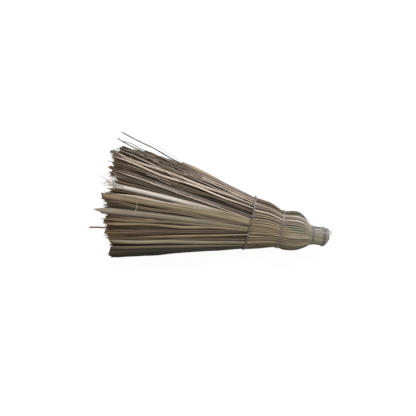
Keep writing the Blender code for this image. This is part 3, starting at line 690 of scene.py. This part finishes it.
def straw_material():
    """Dry grass: each leaf's own tint, fine streaks along it, dull stains, painted shade along each leaf's
    edges and a slightly waxy surface.
    """
    made, tree, shader = new_material("dry_grass")
    tint = attribute(tree, "tint", "Color")
    grain = attribute(tree, "grain", "Vector")
    painted_edge_shade = attribute(tree, "painted_edge_shade", "Fac")

    def noise(across, along, detail):
        stretched = add_node(tree, "Mapping", {"Vector": grain, "Scale": (across, along, 1)})
        inputs = {"Vector": stretched.outputs["Vector"], "Scale": 1.0, "Detail": detail}
        return add_node(tree, "TexNoise", inputs).outputs["Fac"]

    veins = noise(2600, 14, 3)
    streaks = noise(700, 9, 2)
    bands = noise(250, 4, 2)
    stains = noise(60, 22, 3)
    colour = mixed(tree, 1.0, tint, ranged(tree, veins, 0.3, 0.7, 0.8, 1.14))
    colour = mixed(tree, 1.0, colour, ranged(tree, bands, 0.35, 0.65, 0.76, 1.24))
    # Painted shade: darker towards each leaf's edges, where neighbouring leaves shade it
    colour = mixed(tree, 1.0, colour, ranged(tree, painted_edge_shade, 0.55, 1.0, 1.1, 0.45))
    dark = mixed(tree, 1.0, tint, (0.42, 0.36, 0.3, 1))
    colour = mixed(tree, ranged(tree, streaks, 0.52, 0.7, 0.0, 0.75), colour, dark, "MIX")
    dull = mixed(tree, 1.0, tint, (0.72, 0.76, 0.74, 1))
    colour = mixed(tree, ranged(tree, stains, 0.55, 0.75, 0.0, 0.7), colour, dull, "MIX")
    connect(tree, shader, {
        "Base Color": colour, "Roughness": ranged(tree, streaks, 0.3, 0.7, 0.52, 0.78),
        "Specular IOR Level": 0.25, "Normal": bumped(tree, veins, 0.5, 0.0003),
    })
    return made


def wire_material():
    """Dull galvanised wire, with spangle and dirt."""
    made, tree, shader = new_material("galvanised_wire")
    inputs = {"Vector": add_node(tree, "TexCoord", {}).outputs["Object"], "Scale": 900, "Detail": 3}
    spangle = add_node(tree, "TexNoise", inputs).outputs["Fac"]
    ramp = add_node(tree, "ValToRGB", {"Fac": spangle})
    stops = ((0.32, (0.14, 0.13, 0.12, 1)), (0.68, (0.42, 0.43, 0.44, 1)))
    for stop, (position, colour) in zip(ramp.color_ramp.elements, stops):
        stop.position = position
        stop.color = colour
    connect(tree, shader, {
        "Base Color": mixed(tree, 1.0, ramp.outputs["Color"], attribute(tree, "tint", "Color")),
        "Metallic": 0.85, "Roughness": ranged(tree, spangle, 0, 1, 0.34, 0.62),
        "Normal": bumped(tree, spangle, 0.3, 0.0001),
    })
    return made


STRAW = straw_material()
WIRE = wire_material()


def add_object(name, data):
    made = bpy.data.objects.new(name, data)
    bpy.context.scene.collection.objects.link(made)
    return made


def add_piece(node, suffix, mesh, material):
    """A mesh shown in a node's place, whose own part is hidden."""
    mesh.materials.append(material)
    piece = add_object(node + suffix, mesh)
    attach(piece, "root")
    SLOTS[node]
    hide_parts(node)


def part_of(edges, u):
    """The number, from 1, of the part between edges that u is in."""
    return int(np.clip(np.searchsorted(edges, u), 1, len(edges) - 1))


def hand_of(u, v):
    """The name of the hand or core bundle that a leaf belongs to."""
    if abs(v) > CORE_SHARE:
        return f"{'front' if v > 0 else 'back'}_hand_{part_of(HAND_EDGES, u)}"
    return f"core_bundle_{part_of(CLUMP_EDGES, u)}"


def leaf_colour(u, shell):
    """A leaf's colour by its place: pinkish at +Y, khaki in the middle, olive at -Y, with painted shade that
    darkens the -Y edge and the leaves further inside.
    """
    across = (u + 1) / 2
    base = blend(KHAKI, TAUPE * 1.2, across)
    pick = rng.random()
    if pick < 0.08 + 0.22 * across:
        base = blend(base, PINK, 0.7)
    elif pick < 0.4:
        base = blend(base, BROWN, 0.65)
    elif pick < 0.5:
        base = blend(base, OLIVE, 0.5)
    # Painted shade by shell, darker deeper inside, with some chance in it
    bright = varied(SHELL_PAINTED_SHADES[shell], 0.32)
    # Painted shade: darker towards the -Y edge, the side that faces away from the light
    bright *= 0.26 + 0.52 * smoothstep(-0.98, -0.6, u) + 0.22 * smoothstep(-0.4, 0.1, u)
    # In the parting, the inner leaves' painted shade is eased a little
    if WEDGE[0] < u < WEDGE[1]:
        bright *= 1.1
    # Painted shade: half of the upper clump's deeper leaves are darker, for the gaps between its leaves
    elif u > 0.3 and shell > 0 and rng.random() < 0.5:
        bright *= 0.5
    warm = 1 + np.array((0.04, 0, -0.05)) * chance(0.5)
    return np.clip(base * bright * warm, 0.01, 0.8)


def end_colour(colour, u):
    """A leaf's tip: browner, or bleached towards +Y."""
    if u > 0 and rng.random() < 0.12:
        return np.clip(colour * 0.5 + PALE * 0.4, 0, 0.8)
    share = rng.uniform(0.3, 0.95)
    if u < -0.2:
        share = max(share, 0.85)
    elif u > 0.75:
        share = share * 0.5
    # Painted shade: the tips at the -Y edge are darker, on the side that faces away from the light
    return blend(colour, BROWN * (0.45 + 0.65 * smoothstep(-1.0, -0.7, u)), share)


def tied_colour(colour, u, shell, front):
    """The colour of a leaf's tied part, or None where it is the leaf's own."""
    if front and u > 0.3:
        return colour * 0.8
    if front and DULL_ROOTS[0] < front["root_y"] < DULL_ROOTS[1]:
        return KHAKI * 0.84
    if shell == 0 and not front:
        bright = chance(0.25)
        upper = PINK * 0.8 if bright > 0 else (BROWN + PINK) * 0.4
        return (KHAKI if u < 0.3 else upper) * math.exp(bright)
    if shell in (1, 2) and u < -0.85:
        return KHAKI * 0.62
    return None


def warp_of(u, v):
    """The upper clump's front leaves swing away from the middle clump's, which leaves a dark wedge."""
    if v < 0.25 or u < FRONT_PARTING:
        return 0.0
    return FRONT_SWING * (1 - (u - FRONT_PARTING) / (1 - FRONT_PARTING)) ** 1.5


def add_leaf(groups, u, v, shell, width, front=None):
    """One leaf, or the strips of a torn one, added to its hand's set. A main leaf has its own values."""
    front = front or {}
    colour = front["colour"] if front else leaf_colour(u, shell)
    tip_colour = PINK * 0.75 if front.get("node") == "grey_green_leaf" else end_colour(colour, u)
    start = FRONT_SET if front else INNER_SET if shell == INNER_SHELL else WHOLE_SET
    group = groups[front.get("node") or hand_of(u, v), start]
    ragged = FRONT_RAGGED if v > 0.3 and u < 0.15 else SIDE_RAGGED if u > 0.93 else RAGGED
    end = front["end"] if front else tip_reach(u, v) - ragged * rng.random() ** 2
    wild = rng.random() < 0.12
    common = dict(
        u=u, v=v, width=width,
        roll=chance(0.8 if wild else 0.26),
        twist=chance(0.3),
        fold=rng.choice((1, 1, 1, -1)) * rng.uniform(0.1, 0.5),
        sink=OUTER_SINK * rng.random() ** 1.2 if shell == 0 else DEEPER_SINK * rng.random(),
        sway=chance(SWAY), lift=chance(LIFT),
        thick=rng.uniform(*THICKNESSES), warp=0.0 if front else warp_of(u, v),
        wave=chance(WAVE) * (2.2 if front else 1), phase=rng.random(),
        dry=LONG_DRY if -0.75 < u < -0.25 else SHORT_DRY,
    )
    tied = tied_colour(colour, u, shell, front)
    if tied is not None:
        common["root_colour"] = tied
    common.update({key: front[key] for key in LEAF_VALUES if key in front})
    kind = front.get("kind") or ("cut", "point", "torn")[int(np.searchsorted((0.3, 0.62), rng.random()))]
    whole = dict(common, colour=colour, tip_colour=tip_colour, half=1.0)
    if kind == "cut":
        group.append(dict(whole, end=end, slant=front.get("slant", chance(0.0025))))
    elif kind == "point":
        group.append(dict(whole, end=end + 0.004, tip=front.get("tip", rng.uniform(*POINT_TIPS))))
    else:
        strips = rng.integers(2, 4)
        for strip in range(strips):
            shade = rng.uniform(0.85, 1.12)
            group.append(dict(
                common, colour=colour * shade, tip_colour=tip_colour * shade, fold=common["fold"] * 0.5,
                end=end - rng.uniform(0, TORN_LOSS), half=0.94 / strips,
                side=(strip - (strips - 1) / 2) / strips,
                tip=rng.uniform(*TORN_TIPS) if rng.random() < 0.7 else 0.0,
            ))


def root_colour(u, y):
    """A root's colour, near to that of the fan's leaf that goes on from it."""
    upper = float(smoothstep(0.1, 0.8, u))
    base = blend(KHAKI * 0.64 + TAUPE * 0.44, PINK * 0.42 + BEIGE * 0.4, upper)
    # Painted light: roots towards the -Y edge up to 1.7 times brighter, lifting the shade that the key sun
    # leaves on that side
    bright = varied(1.7 - 0.7 * smoothstep(-1.0, -0.7, u), 0.28 + 0.18 * upper)
    if rng.random() < 0.12:
        bright *= 0.4
    root_y, _, _, _, colour, shade, *_ = min(FRONT, key=lambda row: abs(row[0] - y))
    if DULL_ROOTS[0] < root_y < DULL_ROOTS[1]:
        colour, shade = KHAKI, 0.84
    follow = colour * shade
    follow = follow * min(1, (0.42 if u > 0.45 else 0.28) / follow[0])
    if root_y < -0.05:
        follow = KHAKI * 0.8
    made = base * bright * 0.74 + follow * 0.3
    return np.clip(made * min(1, (0.41 if u > 0.45 else 0.32) / made[0]), 0.02, 0.6)


def add_roots(groups):
    """The narrow tied lengths of the front's leaves, up to the shoulder's wire; most of every third is slim,
    sunk and darkened as painted shade of the grooves between them.
    """
    for i in range(ROOT_COUNT):
        u = spread_out(i, ROOT_COUNT, 0.3)
        v = 1 - 0.02 * rng.random()
        slim = 1.0
        sink = 0.0014 * rng.random() ** 1.5
        colour = root_colour(u, place(SHOULDER_REACH, u, v)[1] - AXIS_Y)
        # Painted shade: most of every third root is darkened and sunk, standing for the shaded grooves between
        # roots
        if i % 3 == 0 and rng.random() < 0.85:
            colour = colour * (0.2 if u > 0.2 else 0.38 if u > -0.6 else 0.5)
            slim = 0.85
            sink = 0.0012
        groups[hand_of(u, v), ROOT_SET].append(dict(
            colour=colour, u=u, v=v, width=varied(ROOT_WIDTH * slim, 0.22), end=SHOULDER_REACH + 0.0015,
            roll=chance(0.22), fold=rng.uniform(0.1, 0.45), sink=sink,
            thick=rng.uniform(*ROOT_THICKNESSES), half=1.0, phase=rng.random(),
        ))


def add_front(groups, rows):
    """Main leaves, from rows such as those of FRONT."""
    for root_y, tip_y, bow, width, colour, shade, sink, kind, end, *node in rows:
        u, v = front_uv(SHOULDER_REACH, root_y)
        front = dict(
            colour=colour * shade, sink=sink, kind=kind, end=end, front=1, root_y=root_y, tip_y=tip_y,
            bow=bow, roll=chance(0.1), twist=chance(0.12), fold=rng.uniform(0.12, 0.42),
            sway=chance(0.001), lift=rng.normal(0.0005, 0.001),
        )
        for name in node:
            front.update(node=name, **NODE_SHAPES.get(name, {}))
        add_leaf(groups, float(u), float(v), 0, varied(width, 0.04), front)


def add_stubs(groups):
    """The leaves' cut ends inside the neck."""
    for u, v in scattered(*STUB_GRID):
        cut = varied(KHAKI * 0.9 if rng.random() < 0.6 else BROWN * 1.3, 0.35)
        groups[hand_of(u, 0), STUB_SET].append(dict(
            colour=cut, u=u, v=v, width=varied(STUB_WIDTH, 0.25), end=STUB_END,
            roll=chance(0.5), fold=rng.uniform(-0.6, 0.6), thick=rng.uniform(*STUB_THICKNESSES),
            half=1.0, phase=rng.random(),
        ))


def make_leaves():
    """Every leaf of the broom but the filling ones, in sets by hand."""
    groups = defaultdict(list)
    add_roots(groups)
    add_stubs(groups)
    add_front(groups, FRONT)
    for shell, (v_inset, u_inset, front, back, up) in enumerate(SHELLS):
        for face, across in ((1, front), (-1, back)):
            for i in range(across):
                u = spread_out(i, across, 0.35)
                v = face * (1 - v_inset - 0.03 * rng.random())
                width = varied(OUTER_WIDTH if shell == 0 else DEEPER_WIDTH, 0.26)
                add_leaf(groups, u * (1 - u_inset), v, shell, width)
        for side in (1, -1):
            for i in range(up):
                v = spread_out(i, up, 0.3) * (1 - v_inset)
                u = side * (1 - u_inset - 0.01 * rng.random())
                add_leaf(groups, u, v, shell, varied(SIDE_WIDTH, 0.25))
    for u, v in scattered(*INNER_GRID):
        add_leaf(groups, u, v, INNER_SHELL, varied(INNER_WIDTH, 0.25))
    return groups


def joined(name, meshes):
    """Several meshes as one."""
    parts = [add_object(name, mesh) for mesh in meshes]
    with bpy.context.temp_override(active_object=parts[0], selected_editable_objects=parts):
        bpy.ops.object.join()
    mesh = parts[0].data
    bpy.data.objects.remove(parts[0])
    mesh.name = name
    return mesh


def frame_along(points):
    """Two directions across a line that don't twist."""
    tangent = unit(np.gradient(points, axis=0))
    first = np.zeros_like(points)
    side = np.cross(tangent[0], (0.3, 0.2, 0.9))
    for i, ahead in enumerate(tangent):
        side = side - ahead * np.dot(side, ahead)
        side = side / np.linalg.norm(side)
        first[i] = side
    return first, np.cross(tangent, first)


def travelled(points):
    """How far along a line each of its points is."""
    return np.concatenate([[0], np.cumsum(np.linalg.norm(np.diff(points, axis=0), axis=1))])


def rounded(line, rounds):
    """A line's points between its ends, drawn to their neighbours several times over."""
    for _ in range(rounds):
        line[1:-1] = (line[:-2] + 2 * line[1:-1] + line[2:]) / 4
    return line


def smooth_line(points, spacing, rounds):
    """A line with even, close points and rounded corners."""
    points = np.asarray(points, float)
    length = travelled(points)
    count = max(4, int(length[-1] / spacing) + 1)
    at = np.linspace(0, length[-1], count)
    return rounded(np.stack([np.interp(at, length, points[:, axis]) for axis in range(3)], axis=1), rounds)


def tubes(name, lines, sides):
    """Round closed rods along lines of (points, radii, colour, colour at the end), with tint and grain."""
    verts, faces, tint, grain = [], [], [], []
    for points, radii, colour, last_colour in lines:
        first, second = frame_along(points)
        phase = rng.uniform(0, 10)
        length = travelled(points)
        shades = blend(colour, last_colour, np.linspace(0, 1, len(points))[:, None])
        start = len(verts)
        for i, point in enumerate(points):
            for k in range(sides):
                angle = 2 * math.pi * k / sides
                verts.append(point + radii[i] * (math.cos(angle) * first[i] + math.sin(angle) * second[i]))
                tint.append((*shades[i], 1))
                grain.append((angle * radii[i], length[i], phase))
        faces += (ring_quads(len(points), sides) + start).tolist()
        faces += [range(start + sides - 1, start - 1, -1), range(len(verts) - sides, len(verts))]
    mesh = bpy.data.meshes.new(name)
    mesh.from_pydata(verts, [], faces)
    mesh.polygons.foreach_set("use_smooth", [len(face) == 4 for face in faces])
    add_attributes(mesh, tint, grain)
    return mesh


def stalk(line, height_share, thick, thin, colour, last_colour):
    """A wavy stalk laid through (reach, y) points at a share of the fan's half thickness."""
    reaches, ys = np.array(line).T
    reach = np.linspace(reaches[0], reaches[-1], 40)
    y = rounded(np.interp(reach, reaches, ys), 6)
    _, depth, _, _, height, _ = section(reach)
    z = GROUND_Z + height + depth / 2 * height_share
    wave = 0.0006
    phase = rng.uniform(0, 6)
    y = y + wave * np.sin(reach * 70 + phase)
    z = z + wave * np.sin(reach * 55 + 2 * phase)
    points = np.stack([BUTT_X - reach, AXIS_Y + y, z], axis=1)
    radii = np.linspace(thick / 2, thin / 2, len(points)) * (1 + 0.08 * rng.standard_normal(len(points)))
    return points, radii, colour, last_colour


def over(reach, y, rise):
    """A point above the upper side by a rise."""
    return place(reach, *front_uv(reach, y)) + np.array((0, 0, rise))


def fibre(points, radius, colour):
    line = smooth_line(points, 0.004, 6)
    return line, np.full(len(line), radius), colour, colour


def single_fibres():
    for node, points, radius, colour in SINGLE_FIBRES:
        yield node, fibre([over(*point) for point in points], radius, colour)


def pale_fibres():
    """Torn fibres past the pale leaf's tip, in line with it."""
    for _ in range(PALE_FIBRE_COUNT):
        start = rng.uniform(*PALE_FIBRE_STARTS)
        end = rng.uniform(*PALE_FIBRE_ENDS)
        aside = rng.uniform(-PALE_FIBRE_ASIDE, PALE_FIBRE_ASIDE)
        drift = aside * 0.7 + rng.normal(0.001, 0.004)
        points = []
        for share in FIBRE_SHARES:
            reach = start + (end - start) * share
            along = (reach - SHOULDER_REACH) / (FRONT_REACH - SHOULDER_REACH)
            y = PALE_LINE[0] + PALE_LINE[1] * along + aside + drift * share ** 2
            points.append(over(min(reach, PALE_TIP_REACH), y, 0.0012 + 0.002 * rng.random()))
        yield "pale_curled_leaf", fibre(points, rng.uniform(0.0006, 0.001), PALE * rng.uniform(0.55, 1.05))


def upper_fibres():
    """Fibres strewn over the upper clump, most of them on its outer hand."""
    for _ in range(UPPER_FIBRE_COUNT):
        outer = rng.random() < 0.8
        side = rng.uniform(*(OUTER_FIBRE_SIDES if outer else INNER_FIBRE_SIDES))
        start = rng.uniform(*UPPER_FIBRE_STARTS)
        length = rng.uniform(*UPPER_FIBRE_LENGTHS)
        drift = rng.normal(0.004, 0.01)
        points = []
        for share in FIBRE_SHARES:
            last = UPPER_FIBRE_END - 0.12 * max(side - OUTER_FIBRE_SIDES[0], 0)
            reach = min(start + length * share, last)
            width, _, shift, _, _, _ = section(reach)
            y = (shift + width / 2) * side + drift * share + chance(0.0012)
            y = min(y, np.interp(reach, *FIBRE_EDGE))
            points.append(over(reach, y, rng.uniform(0.0004, 0.0035)))
        tone = (PINK, PALE * 0.7, TAUPE, PINK * 0.6, DARK, DARK)[rng.integers(0, 6)]
        yield "front_hand_6" if outer else "front_hand_5", fibre(points, rng.uniform(0.0004, 0.0008), tone)


def tip_fibres():
    """Short curled fibres at the tips beside the pale leaf."""
    for _ in range(TIP_FIBRE_COUNT):
        y = rng.uniform(*TIP_FIBRE_Y)
        points = []
        for k in range(rng.integers(4, 8)):
            aside = chance(0.002) + 0.001 * k
            points.append(over(TIP_FIBRE_REACH + 0.005 * k, y + aside, rng.uniform(0, 0.003)))
        yield "front_hand_5", fibre(points, 0.0003, PALE)


def loose_fibres():
    """Fine torn fibres on the upper side, by the node that they lie on."""
    lines = defaultdict(list)
    for fibres in (single_fibres(), pale_fibres(), upper_fibres(), tip_fibres()):
        for node, line in fibres:
            lines[node].append(line)
    return lines


def ring_points(reach, start):
    """A wire's centre line coiled round the broom, from the fan's side towards the cut end."""
    steps = np.arange(int(RING_TURNS * RING_STEPS) + 1)
    angle = start + 2 * np.pi * steps / RING_STEPS
    cosine, sine = np.cos(angle), np.sin(angle)
    biggest = np.maximum(np.abs(cosine), np.abs(sine))
    middle = np.full(len(steps), reach)
    points = place(middle, cosine / biggest, sine / biggest)
    normal = outward(middle, points)
    loose = RING_WOBBLE * (np.sin(angle * 2.3 + start) + np.sin(angle * 5.1))
    points[:, 0] -= RING_PITCH * (RING_TURNS / 2 - steps / RING_STEPS)
    points = points + normal * (WIRE_RADIUS + WIRE_GAP + np.abs(loose))[:, None]
    points[:, 0] += loose
    points[:, 2] = np.maximum(points[:, 2], WIRE_RADIUS + FLOOR_GAP)
    return points


def twine_points(offset):
    """The shoulder wire's centre line: front and back of the three clumps in turn, out and home."""
    low, high = CLUMP_EDGES[1:3]
    corners = [
        (1, 0.1), (1, 1), (high, 1), (high, -1), (low, -1), (low, 1), (-1, 1), (-1, 0),
        (-1, -1), (low, -1), (low, 1), (high, 1), (high, -1), (1, -1), (1, -0.1),
    ]
    points = []
    for i, ((u, v), (next_u, next_v)) in enumerate(zip(corners, corners[1:])):
        steps = max(4, int((abs(next_u - u) + abs(next_v - v)) * TWINE_STEPS))
        share = np.arange(steps) / steps
        reach = np.full(steps, SHOULDER_REACH)
        line = place(reach, u + (next_u - u) * share, v + (next_v - v) * share)
        if u != next_u or abs(u) == 1:
            line = line + outward(reach, line) * (WIRE_RADIUS + TWINE_GAP)
        outward_bound = i < len(corners) // 2
        line[:, 0] += (TWINE_APART if outward_bound else -TWINE_APART) + offset
        points.append(line)
    return np.concatenate(points)


def wire_line(points, shade, painted_light, low, high):
    """A wire along points, with painted light that brightens it towards +Y between two y."""
    radii = np.full(len(points), WIRE_RADIUS)
    # Painted highlight: brighter on the side towards the key sun
    shades = shade * (1 + painted_light * smoothstep(low, high, points[:, 1:2] - AXIS_Y)) * np.ones(3)
    return points, radii, shades, shades


def neck_line(rows):
    """Points off the neck's +Y side, from rows of reach, v and gap."""
    points = []
    for reach, v, gap in rows:
        point = place(reach, 1.0, v)
        points.append(point + outward(reach, point) * (WIRE_RADIUS + gap))
    return points


def end_wire_lines():
    """The ring near the cut end, a strand from the neck ring that hooks over the cut end, and a short one."""
    ring = ring_points(END_RING_REACH, END_RING_START)
    strand = neck_line((
        (0.05, 0.92, 0.002), (0.044, 0.9, 0.0022), (0.036, 0.84, 0.0004), (0.026, 0.8, 0.0004),
        (0.02, 0.8, 0.0022), (0.015, 0.84, 0.0008), (0.011, 0.92, 0.0004), (0.007, 0.98, 0.0006),
    ))
    strand += [strand[-1] + np.array(step) for step in (
        (0.0026, -0.0016, -0.0006), (0.004, -0.0044, -0.0022), (0.0042, -0.007, -0.005),
        (0.004, -0.0086, -0.0085),
    )]
    second = neck_line((
        (0.025, 0.98, 0.0006), (0.0215, 1.0, 0.002), (0.019, 1.0, 0.0024), (0.015, 1.0, 0.0012),
        (0.012, 1.0, 0.001), (0.009, 1.0, 0.0022),
    ))
    return [smooth_line(line, 0.0006, 14) for line in (ring, strand, second)]


def crossing_knots():
    """Small loops of the shoulder's wire where it passes between the clumps."""
    angle = np.linspace(0, 2 * np.pi * KNOT_TURNS, 26)
    lines = []
    for y in KNOT_Y:
        at = over(SHOULDER_REACH, y, 0)
        at = at + outward(SHOULDER_REACH, at) * (WIRE_RADIUS * 2.2)
        along = KNOT_LENGTH * (angle / angle[-1] - 0.5)
        turn = (KNOT_RADII[0] * np.cos(angle), along, KNOT_RADII[1] * np.sin(angle))
        lines.append(at + np.stack(turn, axis=1))
    return lines


def twisted_end():
    """Two wires twisted together, out from the shoulder's +Y side."""
    base = place(SHOULDER_REACH, 1.0, 0.0) + np.array((0, WIRE_RADIUS, 0))
    steps = np.linspace(0, 1, 30)
    spread = WIRE_RADIUS * 1.02
    lines = []
    for start in (0, math.pi):
        angle = start + 2 * np.pi * TWIST_TURNS * steps
        turn = (spread * np.cos(angle), TWIST_LENGTH * steps, spread * np.sin(angle))
        lines.append(base + np.stack(turn, axis=1))
    return lines


def add_grass():
    """The leaves and fibres of every hand, core bundle and single leaf, as a piece each."""
    groups = make_leaves()
    fibres = loose_fibres()
    add_front(groups, FILLING)
    for name in sorted({node for node, _ in groups}):
        meshes = []
        for start_reach, rings in SETS:
            if (name, start_reach) in groups:
                leaves = groups[name, start_reach]
                meshes.append(blade_mesh(f"{name}_{len(meshes)}", leaves, rings, start_reach))
        if name in fibres:
            meshes.append(tubes(f"{name}_fibres", fibres[name], FIBRE_SIDES))
        mesh = joined(f"{name}_leaves", meshes) if len(meshes) > 1 else meshes[0]
        suffix = "_leaves" if "hand" in name or "core" in name else "_blade"
        add_piece(name, suffix, mesh, STRAW)


def add_stalks():
    for name, values in STALKS.items():
        add_piece(name, "_stalk", tubes(f"{name}_stalk", [stalk(*values)], STALK_SIDES), STRAW)


def add_wires():
    twine = [smooth_line(twine_points(offset), 0.0007, 8) for offset in TWINE_PAIR]
    wires = {
        "shoulder_wire": twine + twisted_end(),
        "waist_wire": [smooth_line(ring_points(WAIST_REACH, RING_START), 0.0007, 4)],
        "neck_wire": [smooth_line(ring_points(NECK_RING_REACH, RING_START), 0.0006, 4)],
        "end_wire": end_wire_lines(),
    }
    for name, lines in wires.items():
        strands = [wire_line(line, *WIRE_SHADES[name]) for line in lines]
        if name == "shoulder_wire":
            strands += [wire_line(line, *KNOT_SHADE) for line in crossing_knots()]
        add_piece(name, "_strands", tubes(f"{name}_strands", strands, WIRE_SIDES), WIRE)


def seen_directly(tree):
    """1 for camera, glossy and transmission rays, and 0 for those that carry light."""
    path = add_node(tree, "LightPath", {}).outputs
    total = path["Is Camera Ray"]
    for ray in ("Is Glossy Ray", "Is Transmission Ray"):
        total = add_node(tree, "Math", {0: total, 1: path[ray]}, operation="ADD", use_clamp=True).outputs[0]
    return total


def floor_material():
    """A pale floor that shows white to the camera and keeps soft shadows."""
    made, tree, shader = new_material("pale_floor")
    connect(tree, shader, {"Base Color": (0.85, 0.85, 0.85, 1), "Roughness": 0.9, "Specular IOR Level": 0.0})
    glow = add_node(tree, "Emission", {"Color": (1, 1, 1, 1), "Strength": FLOOR_GLOW})
    share = ranged(tree, seen_directly(tree), 0, 1, 0, FLOOR_GLOW_SHARE)
    mix = add_node(tree, "MixShader", {"Fac": share, 1: shader.outputs[0], 2: glow.outputs[0]})
    connect(tree, tree.nodes["Material Output"], {"Surface": mix.outputs[0]})
    return made


def add_floor():
    mesh = bpy.data.meshes.new("floor")
    corners = ((-1, -1), (1, -1), (1, 1), (-1, 1))
    mesh.from_pydata([(x * FLOOR_REACH, y * FLOOR_REACH, 0) for x, y in corners], [], [(0, 1, 2, 3)])
    mesh.materials.append(floor_material())
    floor = add_object("floor", mesh)
    floor.location.z = -FLOOR_DROP


def add_sun(name, direction, strength, angle):
    data = bpy.data.lights.new(name, "SUN")
    data.energy = strength
    data.angle = math.radians(angle)
    add_object(name, data).rotation_euler = Vector(direction).to_track_quat("Z", "Y").to_euler()


def add_world():
    """A sky that is plain white to the camera and lights the broom gently."""
    world = bpy.data.worlds.new("studio")
    bpy.context.scene.world = world
    world.use_nodes = True
    tree = world.node_tree
    strength = ranged(tree, seen_directly(tree), 0, 1, SKY_STRENGTH, 1.0)
    connect(tree, tree.nodes["Background"], {"Color": (1, 1, 1, 1), "Strength": strength})


def add_camera():
    data = bpy.data.cameras.new("camera")
    data.lens = CAMERA_LENS
    data.sensor_width = CAMERA_SENSOR
    camera = add_object("camera", data)
    x, y = CAMERA_PLACE
    camera.location = (BUTT_X + x, AXIS_Y + y, GROUND_Z + AXIS_HEIGHT + CAMERA_DISTANCE)
    camera.rotation_euler = (0, 0, math.radians(CAMERA_ROLL))
    bpy.context.scene.camera = camera


add_grass()
add_stalks()
add_wires()
add_floor()
for sun, values in SUNS.items():
    add_sun(sun, *values)
add_world()
add_camera()
bpy.context.scene.view_settings.view_transform = "Standard"
